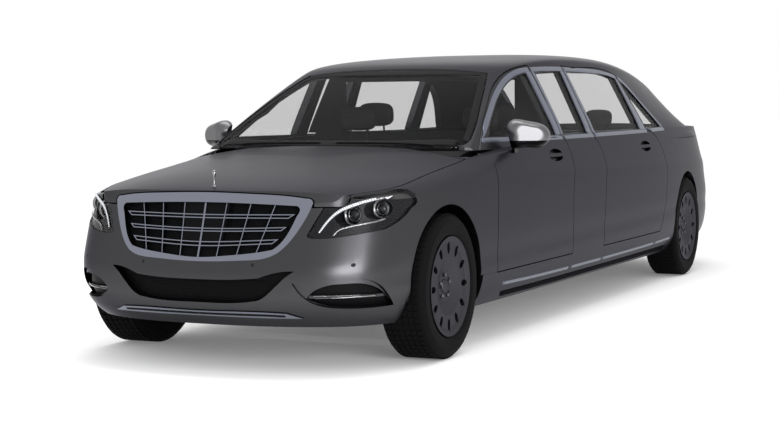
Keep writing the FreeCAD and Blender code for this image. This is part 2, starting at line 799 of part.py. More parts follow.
def side_frame():
    """Left bodyside: sill, hinge pillar, fixed panel, rear quarter, window pillars and roof rail."""
    pillar_x = reach * pillar_share
    inner = half / 2
    sill_end = front_axle_x - house_radius - house_wall - seam
    zone = span(tail_x + overrun, pillar_x, inner, half, floor_low, height)
    zone = zone.fuse(span(pillar_x - seam, sill_end, inner, half, floor_low, sill_top))
    zone = zone.cut(span(tail_x - overrun, reach * quarter_share, 0, half, 0, bumper_top))
    edge = span(tail_x - overrun, reach * deck_edge_share, inner, half, bumper_top, height)
    top = span(tail_x, reach * foot_share, inner, half, belt_height - overrun, height)
    post = span(pillar_x - seam, firewall_x, inner, half, sill_top - overrun, pillar_top)
    post = post.common(wrap(skin_depth + seam).common(deck(skin_depth + seam))).cut(wrap(pillar_depth))
    frame = side_shell.common(zone).fuse([lid_shell.common(edge), upper_shell.common(top), post])
    core = cabin(glass_inset + glass_depth + shut_gap)
    cuts = [stepped(loop, shut_gap, -frame_lap, skin_core, core) for loop in (front_door_loop,
        rear_door_loop)]
    cuts += [left_prism(middle_hole), left_prism(quarter_hole), wells]
    cuts += [plan_prism(loop, belt_height - overrun * 2) for loop in (windshield_hole, backlight_hole,
        roof_loop)]
    cuts.append(plan_prism(grown(lid_loop, shut_gap), lid_low - shut_gap))
    cuts.append(plan_prism(grown(hood_loop, shut_gap), bumper_top))
    cuts.append(front_prism(grown(tail_lamp_loop, seam), tail_x - overrun, tail_x + lamp_reach))
    return one(frame.cut(cuts))


def wheelhouse(x, keep):
    """Inner drum over a left wheel, inside a solid, with a window for the shaft and the arms."""
    inside = house_inner - house_wall
    outer = drum(house_radius + house_wall, x, axle_height, inside, half - skin_depth / 2)
    outer = outer.common(span(x - width, x + width, 0, half, axle_height - overrun, height))
    hatch = span(x - hatch_half, x + hatch_half, 0, house_inner + seam, 0, hatch_top)
    return outer.common(keep).cut([wells, hatch])


def front_fender():
    """Left front wing, from the door to the headlamp, with its inner wheelhouse."""
    zone = side_prism(fender_loop, fender_inner, half + overrun)
    cuts = [plan_prism(grown(hood_loop, shut_gap), bumper_top), left_prism(grown(front_door_loop,
        shut_gap))]
    cuts.append(front_prism(grown(headlamp_loop, seam), reach * lamp_tail_share, nose_x + overrun))
    cuts.append(greenhouse.common(span(tail_x, reach, -half, half, foot_low, height)))
    skin = skin_shell.common(zone).cut(cuts + [wells])
    ahead = span(front_axle_x, nose_x, -half, half, 0, height)
    keep = zone.common(wrap(skin_depth / 2)).fuse(wrap(bumper_depth + seam).common(ahead))
    keep = keep.fuse(room.common(span(bulkhead_x, front_axle_x + seam, -half, half, 0, height)))
    return one(one(skin).fuse(wheelhouse(front_axle_x, keep)))


def bonnet():
    """Engine lid with a small plain finial at its nose."""
    panel = lid_shell.common(plan_prism(hood_loop, hood_low))
    front = front_prism(grown(grille_loop, shut_gap), front_axle_x, nose_x + overrun)
    under = span(front_axle_x, nose_x + overrun, -half * nose_share, half * nose_share, 0, hood_under)
    panel = one(panel.cut([front, under, cabin(-shut_gap)]))
    x = reach * finial_share
    line = panel.common(Part.makeLine(Vector(x, 0, 0), Vector(x, 0, height)))
    base = Vector(x, 0, line.BoundBox.ZMax - finial_radius / 2)
    points = [Vector(finial_radius * out, finial_radius * out, finial_height * up) for out,
        up in finial_shares]
    wire = Part.makePolygon([base + point for point in points + points[:1]])
    finial = Part.Face(wire).revolve(base, Vector(0, 0, 1), 360)
    return one(panel.fuse(finial))


def boot_lid():
    """Lid of the boot, with its rear face."""
    lamp = front_prism(grown(tail_lamp_loop, shut_gap), tail_x - overrun, tail_x + lamp_reach)
    return one(lid_shell.common(plan_prism(lid_loop, lid_low)).cut([lamp, mirrored(lamp)]))


def front_bumper():
    """Front bumper cover, with openings for the grille, the headlamps and the air intakes."""
    zone = span(reach * bumper_share, nose_x + overrun, -half, half, lip_low, height)
    front = reach * lamp_tail_share
    rear = front_axle_x
    fender = side_prism(grown(fender_loop, seam), fender_inner - seam, half + overrun)
    recess = front_prism(recess_loop, rear, nose_x + overrun).cut(lamp_core)
    hole = front_prism(side_intake_loop, rear, nose_x + overrun)
    blade = span(rear, nose_x + overrun, 0, half, height * blade_share, height * blade_share + blade_high)
    hole = hole.cut(blade.common(skin_core))
    sides = [fender, recess, hole, front_prism(grown(headlamp_loop, seam), front, nose_x + overrun)]
    cuts = sides + [mirrored(shape) for shape in sides]
    cuts.append(plan_prism(grown(hood_loop, shut_gap), hood_low - shut_gap))
    cuts += [front_prism(grown(loop, seam), rear, nose_x + overrun) for loop in (grille_loop, intake_loop)]
    return one(bumper_shell.common(zone).cut(cuts + [wells]))


def rear_bumper():
    """Rear bumper cover, from wheel arch to wheel arch."""
    zone = span(tail_x - overrun, reach * quarter_share - seam, -half, half, lip_low, bumper_top - seam)
    return one(bumper_shell.common(zone).cut(wells))


def rear_panel():
    """Fixed panel behind the bumper and below the boot's lid."""
    side = half / 2 - seam
    zone = span(tail_x - overrun, tail_x + rear_overhang / 4, -side, side, bumper_top, lid_low - shut_gap)
    return lid_shell.common(zone)


def post_loop(top_share, foot_share, post_width):
    """Outline of an upright post of the grille, from its places at the top and the foot."""
    top = height * post_top_share
    foot = height * post_foot_share
    corners = [(half * top_share, post_width / 2, top), (half * foot_share, post_width / 2, foot),
               (half * foot_share, -post_width / 2, foot), (half * top_share, -post_width / 2, top)]
    return [[Vector(0, y + side, z)] for y, side, z in corners]


def grille():
    """Radiator grille: frame, three louvres with pointed ends, upright posts and a lip below."""
    front = front_axle_x
    rim = front_prism(grille_loop, front, nose_x).cut(front_prism(grille_hole, front, nose_x))
    frame = bumper_shell.common(rim)
    bars = []
    for shares in louvre_shares:
        loop = twin_loop(front_spot, shares)
        bars.append(front_prism(loop, front, nose_x).cut(front_prism(grown(loop, -bar_line), front,
            nose_x)))
    for top_share, foot_share in post_shares:
        for side in (-1, 1):
            bars.append(front_prism(post_loop(side * top_share, side * foot_share, bar_line), front,
                nose_x))
    bars.append(front_prism(post_loop(0, 0, bar_line * 2), front, nose_x))
    lattice = bars[0].fuse(bars[1:]).common(front_prism(grown(grille_hole, bar_line), front, nose_x))
    core = wrap(grille_inset).cut(bumper_core)
    panel = front_prism(twin_loop(front_spot, panel_shares), front, nose_x)
    lattice = core.common(lattice).cut(panel.common(wrap(grille_inset + bar_line)))
    lip = wrap(-lip_proud).cut(wrap(-seam)).common(front_prism(twin_loop(front_spot, lip_shares), front,
        nose_x))
    return one(frame.fuse(lattice)), one(lip)


def grille_mesh():
    """Dark backs of the grille and of the three air intakes, and the grille's smooth panel."""
    front = front_axle_x + house_radius + house_wall + seam
    back = wrap(bumper_depth + seam).cut(wrap(bumper_depth + backing_depth))
    plates = []
    for loop in (grille_hole, intake_loop, side_intake_loop):
        plates.append(one(back.common(front_prism(grown(loop, backing_lap), front, nose_x))))
    plates.append(mirrored(plates[2]))
    panel = wrap(grille_inset + bar_line + seam).cut(wrap(grille_inset + bar_line * 3))
    plates.append(one(panel.common(front_prism(grown(twin_loop(front_spot, panel_shares), -seam), front,
        nose_x))))
    return Part.Compound(plates)


def headlamp():
    """Left headlamp: a housing with two round reflectors, and its lens."""
    zone = front_prism(headlamp_loop, reach * lamp_tail_share, nose_x + overrun)
    zone = zone.cut(plan_prism(grown(hood_loop, shut_gap + glass_inset / 2), hood_low - shut_gap))
    lens = lower.cut(wrap(glass_depth).common(deck(glass_depth))).common(zone)
    body = lamp_core.common(deck(lamp_inset)).cut(wrap(lamp_depth)).common(zone)
    bowls = []
    for out, up, along, radius_share in bowl_shares:
        base = Vector(reach * along, half * out, height * up)
        bowls.append(Part.makeCylinder(height * radius_share, front_overhang, base, Vector(1, 0, 0)))
    return one(body.cut(bowls)), one(lens)


def tail_lamp():
    """Left tail lamp, round the corner of the body."""
    zone = front_prism(tail_lamp_loop, tail_x - overrun, tail_x + lamp_reach)
    return one(lower.cut(wrap(lamp_inset * 2)).common(zone))


def roof_panel():
    """Roof skin between the two roof rails."""
    return one(upper.cut(cabin(roof_depth)).common(plan_prism(grown(roof_loop, -seam), belt_height)))


def floor_pan():
    """Floor with its walls: firewall, raised floor, bulkhead, boot floor, rails and wheelhouses."""
    low = floor_low + floor_depth
    tray = room.common(span(kick_x, firewall_x, -half, half, floor_low, low))
    tunnel = span(kick_x, firewall_x, -tunnel_width / 2, tunnel_width / 2, floor_low, tunnel_top)
    hollow = span(kick_x + wall_depth, firewall_x - wall_depth, -tunnel_width / 2 + wall_depth,
                  tunnel_width / 2 - wall_depth, 0, tunnel_top - wall_depth)
    walls = span(firewall_x - wall_depth, firewall_x, -half, half, floor_low, cowl_top)
    pieces = [tunnel, wrap(pillar_depth + seam).common(walls)]
    walls = span(kick_x, kick_x + wall_depth, -half, half, floor_low, raised_floor)
    walls = walls.fuse(span(bulkhead_x, kick_x + wall_depth, -half, half, raised_floor - wall_depth,
        raised_floor))
    walls = walls.fuse(span(bulkhead_x, bulkhead_x + wall_depth, -half, half, boot_floor - wall_depth,
        shelf_top))
    boot = span(tail_x + overrun, bulkhead_x + wall_depth, -half, half, boot_floor - wall_depth, boot_floor)
    pieces.append(room.common(walls.fuse(boot)))
    pieces.append(span(shelf_rear, bulkhead_x + wall_depth, -shelf_half, shelf_half,
        shelf_top - wall_depth, shelf_top))
    for side in (-1, 1):
        y = side * rail_y
        pieces.append(span(firewall_x - wall_depth, nose_x - overrun * 4, y - rail_width / 2,
            y + rail_width / 2,
                           rail_low, rail_low + rail_height))
        pieces.append(span(tail_x + overrun * 3, bulkhead_x + wall_depth, y - rail_width / 2,
            y + rail_width / 2,
                           boot_floor - wall_depth - rail_height, boot_floor - wall_depth / 2))
        pieces.append(span(bulkhead_x, kick_x + wall_depth, y - rail_width / 2, y + rail_width / 2,
                           axle_height + shaft_radius + seam, raised_floor - wall_depth / 2))
    house = wheelhouse(rear_axle_x, room)
    return one(tray.fuse(pieces).cut([hollow, wells]).fuse([house, mirrored(house)]))


def rounded_block(x0, x1, y0, y1, z0, z1, radius):
    """Block with its edges rounded."""
    block = span(x0, x1, y0, y1, z0, z1)
    return block.makeFillet(radius, block.Edges)


def seat(x, y, wide, facing, lean):
    """Seat with its foot at a place on the floor, facing forward (1) or back (-1)."""
    cushion = rounded_block(-seat_long / 2, seat_long / 2, -wide / 2, wide / 2, 0, cushion_depth,
        seat_round)
    back = rounded_block(-back_depth, 0, -wide / 2, wide / 2, 0, back_height, seat_round)
    rest = rounded_block(-back_depth * 3 / 4, 0, -wide / 4, wide / 4, back_height + seat_round / 2,
                         back_height + rest_height, seat_round / 2)
    post = span(-back_depth / 2, -back_depth / 2 + rest_post, -rest_post / 2, rest_post / 2,
        back_height - seat_round,
                back_height + seat_round)
    for piece in (back, rest, post):
        piece.rotate(Vector(0, 0, 0), Vector(0, 1, 0), -lean)
        piece.translate(Vector(-seat_long / 2 + seat_round, 0, cushion_depth / 2))
    whole = cushion.fuse([back, rest, post])
    whole.translate(Vector(0, 0, seat_height))
    base = span(-seat_long / 2 + seat_round * 2, seat_long / 2 - seat_round, -wide / 2 + seat_round,
                wide / 2 - seat_round, floor_low + floor_depth + seam, seat_height + seat_round)
    whole = whole.fuse(base)
    if facing < 0:
        whole.rotate(Vector(0, 0, 0), Vector(0, 0, 1), 180)
    whole.translate(Vector(x, y, 0))
    tunnel = span(tail_x, nose_x, -tunnel_width / 2 - seam, tunnel_width / 2 + seam, 0, tunnel_top + seam)
    return one(whole.cut(tunnel))


def dashboard():
    """Dashboard from door to door, under the windscreen."""
    return one(side_prism(outline(side_spot, dash_shares), -dash_half,
        dash_half).common(cabin(frame_depth + overrun / 4)))


def steering_wheel():
    """Steering wheel with three spokes, on a column that ends at the dashboard."""
    ring = Part.makeTorus(wheel_radius, wheel_rim)
    hub = Part.makeCylinder(wheel_hub, wheel_rim * 3, Vector(0, 0, -wheel_rim * 2))
    column = Part.makeCylinder(wheel_rim * 2, column_length, Vector(0, 0, -column_length))
    spokes = []
    for turn in (0, 90, 180):
        spoke = Part.makeBox(wheel_radius, wheel_rim * 2, wheel_rim, Vector(0, -wheel_rim, -wheel_rim / 2))
        spoke.rotate(Vector(0, 0, 0), Vector(0, 0, 1), turn)
        spokes.append(spoke)
    whole = ring.fuse([hub, column] + spokes)
    whole.rotate(Vector(0, 0, 0), Vector(0, 0, 1), 90)
    whole.rotate(Vector(0, 0, 0), Vector(0, 1, 0), column_lean - 90)
    whole.translate(Vector(wheel_x, driver_y, wheel_z))
    return one(whole.cut(shapes["dashboard"].translated(Vector(-seam, 0, seam))))


def partition():
    """Wall behind the front seats, with a window in its upper half."""
    low = floor_low + floor_depth + seam
    gap = seam * 3
    wall = span(partition_x, partition_x + wall_depth * 2, -half, half, low, height)
    hole = span(partition_x - overrun, partition_x + overrun, -partition_half, partition_half,
                partition_sill, partition_head)
    tunnel = span(partition_x - overrun, partition_x + overrun, -tunnel_width / 2 - seam,
        tunnel_width / 2 + seam,
                  0, tunnel_top + seam)
    inside = cabin(frame_depth + gap)
    high = span(partition_x - overrun, partition_x + overrun, -half, half, belt_height + wall_depth, height)
    inside = inside.common(wrap(door_depth + gap)).fuse(inside.common(high))
    return one(wall.common(inside).cut([hole, tunnel]))


def revolved(points):
    """Ring made by turning a profile of side distance and radius about the Y axis."""
    wire = Part.makePolygon([Vector(radius, y, 0) for y, radius in points + points[:1]])
    return Part.Face(wire).revolve(Vector(0, 0, 0), Vector(0, 1, 0), 360)


def round_about(tool, count):
    """Copies of a tool set evenly round the Y axis."""
    copies = []
    for k in range(count):
        copy = tool.copy()
        copy.rotate(Vector(0, 0, 0), Vector(0, 1, 0), 360 * k / count)
        copies.append(copy)
    return copies


def rim():
    """Left wheel rim at the origin: barrel, flanges and a disc with oval pockets near its edge."""
    inner = -rim_width / 2
    outer = rim_width / 2
    lip = rim_radius - barrel_radius
    bore = barrel_radius - barrel_wall
    face = outer - disc_inset
    points = [(inner, rim_radius), (inner, bore), (face - disc_depth * 2, bore),
              (face - disc_depth, bore - barrel_wall), (face - disc_depth * 2, hub_radius * 2),
              (face - disc_depth * 2, bore_radius), (face - disc_depth, bore_radius),
              (face - disc_depth, hub_radius), (face, hub_radius * 2), (face, bore - barrel_wall),
              (outer - barrel_wall / 2, bore + barrel_wall / 2), (outer, rim_radius),
              (outer - lip / 2, rim_radius), (outer - lip, barrel_radius), (inner + lip, barrel_radius),
              (inner + lip / 2, rim_radius)]
    body = revolved(points)
    oval = Part.Ellipse(Vector(pocket_circle, -width / 2, 0), pocket_long / 2, pocket_wide / 2)
    oval.Axis = Vector(0, 1, 0)
    oval.AngleXU = math.pi / 2
    pocket = Part.Face(Part.Wire([oval.toShape()])).extrude(Vector(0, width, 0))
    lug = Part.makeCylinder(lug_radius, width, Vector(lug_circle, -width / 2, 0), Vector(0, 1, 0))
    return one(body.cut(round_about(pocket, pocket_count) + round_about(lug, lug_count)))


def tyre():
    """Left tyre at the origin, seated on the rim's barrel between its flanges."""
    side = tyre_width / 2
    seat_y = rim_width / 2 - (rim_radius - barrel_radius) - seam
    wall = tyre_radius - rim_radius
    left = [(seat_y, barrel_radius + seam), (side, rim_radius + wall * 0.45), (side - wall * 0.24,
        tyre_radius)]
    return revolved(left + [(-y, radius) for y, radius in reversed(left)])


def knuckle():
    """Left front knuckle: hub, upright and the two faces that meet the arms."""
    face = rim_width / 2 - disc_inset - disc_depth * 2
    hub = drum(hub_radius - seam, 0, 0, face - hub_depth, face - seam)
    spindle = drum(bore_radius - seam, 0, 0, face - hub_depth, face + disc_depth)
    upright = span(-knuckle_width / 2, knuckle_width / 2, -knuckle_width / 2,
        face - hub_depth + knuckle_width / 2,
                   -arm_offset, arm_offset)
    over = span(-width, width, knuckle_width / 2, width, hub_radius, width)
    under = span(-width, width, knuckle_width / 2, width, -width, -hub_radius)
    return one(hub.fuse([spindle, upright.cut([over, under])]))


def front_axle():
    """Front subframe: crossmember with two pairs of arms that end at the knuckles."""
    x = front_axle_x
    pieces = [span(x - beam_width / 2, x + beam_width / 2, -beam_half, beam_half, beam_low,
        rail_low - seam)]
    for low in (axle_height - arm_offset - arm_depth - seam, axle_height + arm_offset + seam):
        arm = span(x - arm_width / 2, x + arm_width / 2, beam_half - arm_width, wheel_plane + arm_width / 2,
                   low, low + arm_depth)
        pieces += [arm, mirrored(arm)]
    post = span(x - arm_width / 2, x + arm_width / 2, beam_half - arm_width, beam_half,
                axle_height - arm_offset - arm_depth - seam, axle_height + arm_offset + arm_depth + seam)
    pieces += [post, mirrored(post)]
    return one(pieces[0].fuse(pieces[1:]))


def rear_axle():
    """Rear axle: final drive, shafts, hubs and a crossmember."""
    face = wheel_plane + rim_width / 2 - disc_inset - disc_depth * 2
    x = rear_axle_x
    shaft = drum(shaft_radius, x, axle_height, -face + seam, face - seam)
    case = rounded_block(x - case_size, x + case_size, -case_size, case_size,
                         axle_height - case_size, axle_height + case_size, shaft_radius)
    hubs = [drum(hub_radius - seam, x, axle_height, face - hub_depth, face - seam)]
    hubs.append(drum(bore_radius - seam, x, axle_height, face - hub_depth, face + disc_depth))
    hubs += [mirrored(hub) for hub in hubs]
    cross = span(x - shaft_radius, x + shaft_radius, -rail_y, rail_y, axle_height - shaft_radius,
                 axle_height + shaft_radius)
    return one(shaft.fuse([case, cross] + hubs))


def exhaust():
    """Two exhaust pipes with a silencer and a tail pipe each."""
    pipes = []
    for side in (-1, 1):
        y = side * pipe_y
        pipe_z = floor_low - pipe_radius - seam
        pipe = Part.makeCylinder(pipe_radius, firewall_x - pipe_end, Vector(pipe_end, y, pipe_z), Vector(1,
            0, 0))
        box = rounded_block(muffler_rear, muffler_front, y - muffler_half, y + muffler_half,
                            pipe_z - muffler_high / 2, pipe_z + muffler_high / 2, pipe_radius)
        pipes.append(one(pipe.fuse(box)))
    return Part.Compound(pipes)


def mirror_layer(place, size):
    """Closed edge of one layer of the left mirror's housing."""
    start = Vector(mirror_root_x, mirror_root_y, mirror_low)
    along = Vector(mirror_tip_x, mirror_tip_y, mirror_low) - start
    ahead = Vector(along.y, -along.x, 0).normalize() * (mirror_depth * place)
    rise = Vector(0, 0, mirror_top - mirror_low)
    middle = start + along / 2 + rise / 2
    points = []
    for out, up in mirror_shares:
        point = start + along * out + rise * up
        points.append(middle + (point - middle) * size + ahead)
    curve = Part.BSplineCurve()
    curve.interpolate(Points=points, PeriodicFlag=True)
    return Part.Wire([curve.toShape()])


def mirror():
    """Left door mirror: swept housing on a foot that seats on the door."""
    shell = Part.makeLoft([mirror_layer(place, size) for place, size in mirror_layer_shares], True, False)
    foot = span(mirror_root_x - mirror_depth / 2, mirror_root_x, mirror_foot_y,
        mirror_root_y + mirror_depth / 2,
                mirror_low - mirror_depth / 4, mirror_low + mirror_depth / 2)
    if shell.Volume < 0:
        shell.reverse()
    return one(shell.fuse(foot).cut([wrap(-seam), cabin(-seam)]))


def engine():
    """Engine as one plain block, on the front rails."""
    return span(engine_back, engine_back + engine_long, -engine_half, engine_half,
        rail_low + rail_height + seam, engine_top)


def save_all():
    """Write every node's solids to its file."""
    for name, shape in shapes.items():
        shape.exportStep("parts/" + name + ".step")
        print(name, len(shape.Solids), shape.isValid(), round(shape.Volume))


shapes = {}
shapes["front_door_left"] = door(front_door_loop, front_hole, *front_handle_shares)
shapes["rear_door_left"] = door(rear_door_loop, rear_hole, *rear_handle_shares)
shapes["front_glass_left"] = side_pane(front_hole)
shapes["rear_glass_left"] = side_pane(rear_hole)
shapes["mirror_left"] = mirror()
for name in ("front_door", "rear_door", "front_glass", "rear_glass", "mirror"):
    shapes[name + "_right"] = mirrored(shapes[name + "_left"])
shapes["side_frames"] = both(side_frame())
shapes["front_fenders"] = both(front_fender())
shapes["roof_panel"] = roof_panel()
shapes["windshield"] = window(windshield_hole)
fixed = [side_pane(middle_hole), side_pane(quarter_hole)]
shapes["fixed_glass"] = Part.Compound(fixed + [mirrored(pane) for pane in fixed] + [window(backlight_hole)])
shapes["hood"] = bonnet()
shapes["trunk_lid"] = boot_lid()
shapes["front_bumper"] = front_bumper()
shapes["rear_bumper"] = rear_bumper()
shapes["rear_panel"] = rear_panel()
shapes["grille"] = Part.Compound(list(grille()))
shapes["grille_mesh"] = grille_mesh()
lamp_body, lamp_lens = headlamp()
shapes["headlamps"] = both(lamp_body)
shapes["headlamp_lenses"] = both(lamp_lens)
shapes["tail_lamps"] = both(tail_lamp())
shapes["floor_pan"] = floor_pan()
shapes["engine_block"] = engine()
shapes["front_axle"] = front_axle()
shapes["rear_axle"] = rear_axle()
shapes["exhaust"] = exhaust()
shapes["dashboard"] = dashboard()
shapes["steering_wheel"] = steering_wheel()
shapes["partition"] = partition()
shapes["front_seats"] = both(seat(front_seat_x, driver_y, seat_wide, 1, front_lean))
facing = seat(facing_seat_x, driver_y, seat_wide, -1, facing_lean)
bench = seat(rear_seat_x, rear_seat_y, rear_seat_wide, 1, rear_lean)
shapes["rear_seats"] = Part.Compound([facing, mirrored(facing), bench, mirrored(bench)])
hub_shape = knuckle().translated(Vector(front_axle_x, wheel_plane, axle_height))
shapes["knuckle_left"] = hub_shape
shapes["knuckle_right"] = mirrored(hub_shape)
rim_shape = rim()
tyre_shape = tyre()
for end, x in (("front", front_axle_x), ("rear", rear_axle_x)):
    for kind, shape in (("rim_", rim_shape), ("tyre_", tyre_shape)):
        left = shape.translated(Vector(x, wheel_plane, axle_height))
        shapes[kind + end + "_left"] = left
        shapes[kind + end + "_right"] = mirrored(left)
save_all()
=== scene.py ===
# %% [markdown]
# # Stretch limousine
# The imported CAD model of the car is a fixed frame: its doors, lids and wheels move on real joints.
# This notebook gives every panel a finish and adds what the CAD leaves out, such as bright trim,
# tyre tread, lamp internals and padded seats. It starts by loading the frame.

# %% Load the frame
import json
import math

import bmesh
import bpy
from mathutils import Matrix, Vector
from mathutils.bvhtree import BVHTree


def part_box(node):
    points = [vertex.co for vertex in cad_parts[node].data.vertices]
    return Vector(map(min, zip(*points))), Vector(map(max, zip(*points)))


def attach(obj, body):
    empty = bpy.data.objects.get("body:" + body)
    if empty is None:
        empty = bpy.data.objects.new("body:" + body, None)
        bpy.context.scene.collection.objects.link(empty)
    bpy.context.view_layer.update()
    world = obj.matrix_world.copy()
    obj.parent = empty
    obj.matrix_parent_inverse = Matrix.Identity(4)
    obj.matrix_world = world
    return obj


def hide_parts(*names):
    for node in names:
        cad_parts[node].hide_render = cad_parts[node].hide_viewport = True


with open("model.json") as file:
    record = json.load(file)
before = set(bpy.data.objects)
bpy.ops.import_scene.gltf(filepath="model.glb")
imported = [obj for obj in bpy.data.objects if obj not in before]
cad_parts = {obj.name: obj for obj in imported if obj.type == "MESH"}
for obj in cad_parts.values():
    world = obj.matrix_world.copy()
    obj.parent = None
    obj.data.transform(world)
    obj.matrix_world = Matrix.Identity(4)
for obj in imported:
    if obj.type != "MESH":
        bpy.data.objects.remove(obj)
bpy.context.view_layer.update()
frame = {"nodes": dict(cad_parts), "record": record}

scene = bpy.context.scene
nodes = frame["nodes"]

# %% [markdown]
# ## Camera
# The camera stands where the photograph was taken from. Its place was worked out from the wheels,
# the lamps and the lid lines, so that the model lands on the picture. The focal length comes from
# the same work in pixels, and is turned into millimetres on a 36 mm sensor, as Blender wants it.

# %% Camera
camera_place = Vector((9.7481, 4.0203, 1.2068))
camera_yaw, camera_pitch, camera_roll = -2.7061, -0.0663, -0.0071
focal_pixels = 1654.5
image_size = (780, 440)
sensor = 36.0


def camera_axes():
    """Right, up and forward directions of the camera."""
    forward = Vector((math.cos(camera_pitch) * math.cos(camera_yaw),
                      math.cos(camera_pitch) * math.sin(camera_yaw), math.sin(camera_pitch)))
    level = forward.cross(Vector((0, 0, 1))).normalized()
    rise = level.cross(forward)
    right = level * math.cos(camera_roll) + rise * math.sin(camera_roll)
    up = rise * math.cos(camera_roll) - level * math.sin(camera_roll)
    return right, up, forward


def make_camera():
    """The scene's camera, with the photograph's frame."""
    data = bpy.data.cameras.new("camera")
    data.sensor_width = sensor
    data.lens = sensor * focal_pixels / image_size[0]
    camera = bpy.data.objects.new("camera", data)
    scene.collection.objects.link(camera)
    right, up, forward = camera_axes()
    turn = Matrix((right, up, -forward)).transposed()
    camera.matrix_world = Matrix.Translation(camera_place) @ turn.to_4x4()
    scene.camera = camera
    return camera


camera = make_camera()
scene.view_settings.view_transform = "Standard"
print("camera", [round(v, 3) for v in camera.location])

# %% [markdown]
# ## Shader node groups
# Paint, rubber and cast metal all need small unevenness. One node group makes it: a fine pattern
# for the bump and a slow, cloudy one that shifts colour and roughness. Each material sets its own
# sizes, so the effect is written once and looks different on every finish. Leather also has
# rounded cells between its creases, and a second group makes their height from a cell pattern.

# %% Shader node groups
def new_group(name, inputs, outputs):
    """Empty shader node group with named inputs and outputs."""
    tree = bpy.data.node_groups.new(name, "ShaderNodeTree")
    for label, kind, value in inputs:
        socket = tree.interface.new_socket(label, in_out="INPUT", socket_type=kind)
        if value is not None:
            socket.default_value = value
    for label, kind in outputs:
        tree.interface.new_socket(label, in_out="OUTPUT", socket_type=kind)
    return tree, tree.nodes.new("NodeGroupInput"), tree.nodes.new("NodeGroupOutput")


def make_grain_group():
    """Group that turns object coordinates into a fine height and a cloudy mask."""
    tree, start, end = new_group(
        "grain", [("Vector", "NodeSocketVector", None), ("Fine Scale", "NodeSocketFloat", 400.0),
                  ("Cloud Scale", "NodeSocketFloat", 3.0), ("Stretch", "NodeSocketVector", (1, 1, 1))],
        [("Height", "NodeSocketFloat"), ("Cloud", "NodeSocketFloat")])
    stretch = tree.nodes.new("ShaderNodeVectorMath")
    stretch.operation = "MULTIPLY"
    fine = tree.nodes.new("ShaderNodeTexNoise")
    fine.inputs["Detail"].default_value = 3
    cloud = tree.nodes.new("ShaderNodeTexNoise")
    cloud.inputs["Detail"].default_value = 4
    link = tree.links.new
    link(start.outputs["Vector"], stretch.inputs[0])
    link(start.outputs["Stretch"], stretch.inputs[1])
    link(stretch.outputs[0], fine.inputs["Vector"])
    link(start.outputs["Fine Scale"], fine.inputs["Scale"])
    link(start.outputs["Vector"], cloud.inputs["Vector"])
    link(start.outputs["Cloud Scale"], cloud.inputs["Scale"])
    link(fine.outputs["Fac"], end.inputs["Height"])
    link(cloud.outputs["Fac"], end.inputs["Cloud"])
    return tree


def make_hide_group():
    """Group that makes leather: rounded cells for the grain and creases, on object coordinates."""
    tree, start, end = new_group(
        "hide", [("Vector", "NodeSocketVector", None), ("Cell Scale", "NodeSocketFloat", 350.0)],
        [("Height", "NodeSocketFloat")])
    cells = tree.nodes.new("ShaderNodeTexVoronoi")
    cells.feature = "DISTANCE_TO_EDGE"
    soft = tree.nodes.new("ShaderNodeMapRange")
    soft.inputs["From Max"].default_value = 0.25
    link = tree.links.new
    link(start.outputs["Vector"], cells.inputs["Vector"])
    link(start.outputs["Cell Scale"], cells.inputs["Scale"])
    link(cells.outputs["Distance"], soft.inputs["Value"])
    link(soft.outputs[0], end.inputs["Height"])
    return tree


grain_group = make_grain_group()
hide_group = make_hide_group()
print("groups", grain_group.name, hide_group.name)

# %% [markdown]
# ## Finishes
# Each finish is a Principled material. Its colour drifts slightly with the cloudy mask, its
# roughness does too, and a bump from the fine pattern breaks up the highlights as the real
# surface would. Paint is a dark metal under a thin clear coat. Glass is a thin tinted sheet that
# is mostly see-through, because the panes are too thin to bend the light that passes.

# %% Steps of a finish
bump_distance = 0.001


def placed_group(tree, group, vector, values):
    """Node group in a material, with its own values and the coordinates that it reads."""
    node = tree.nodes.new("ShaderNodeGroup")
    node.node_tree = group
    for label, value in values.items():
        node.inputs[label].default_value = value
    tree.links.new(vector, node.inputs["Vector"])
    return node


def drifting_colour(tree, shader, cloud, colour, drift):
    """Base colour between a darker and a lighter tone, mixed by the cloudy mask."""
    shade = tree.nodes.new("ShaderNodeMix")
    shade.data_type = "RGBA"
    shade.inputs["A"].default_value = (*[c * (1 - drift) for c in colour], 1)
    shade.inputs["B"].default_value = (*[min(1, c * (1 + drift)) for c in colour], 1)
    tree.links.new(cloud, shade.inputs["Factor"])
    tree.links.new(shade.outputs["Result"], shader.inputs["Base Color"])


def uneven_roughness(tree, shader, cloud, roughness, uneven):
    """Roughness that varies a little with the cloudy mask."""
    rough = tree.nodes.new("ShaderNodeMapRange")
    rough.inputs["To Min"].default_value = max(0.0, roughness - uneven)
    rough.inputs["To Max"].default_value = min(1.0, roughness + uneven)
    tree.links.new(cloud, rough.inputs["Value"])
    tree.links.new(rough.outputs[0], shader.inputs["Roughness"])


def fine_relief(tree, shader, height, bump):
    """Bump from the fine pattern."""
    relief = tree.nodes.new("ShaderNodeBump")
    relief.inputs["Strength"].default_value = bump
    relief.inputs["Distance"].default_value = bump_distance
    tree.links.new(height, relief.inputs["Height"])
    tree.links.new(relief.outputs["Normal"], shader.inputs["Normal"])


print("bump distance", bump_distance)

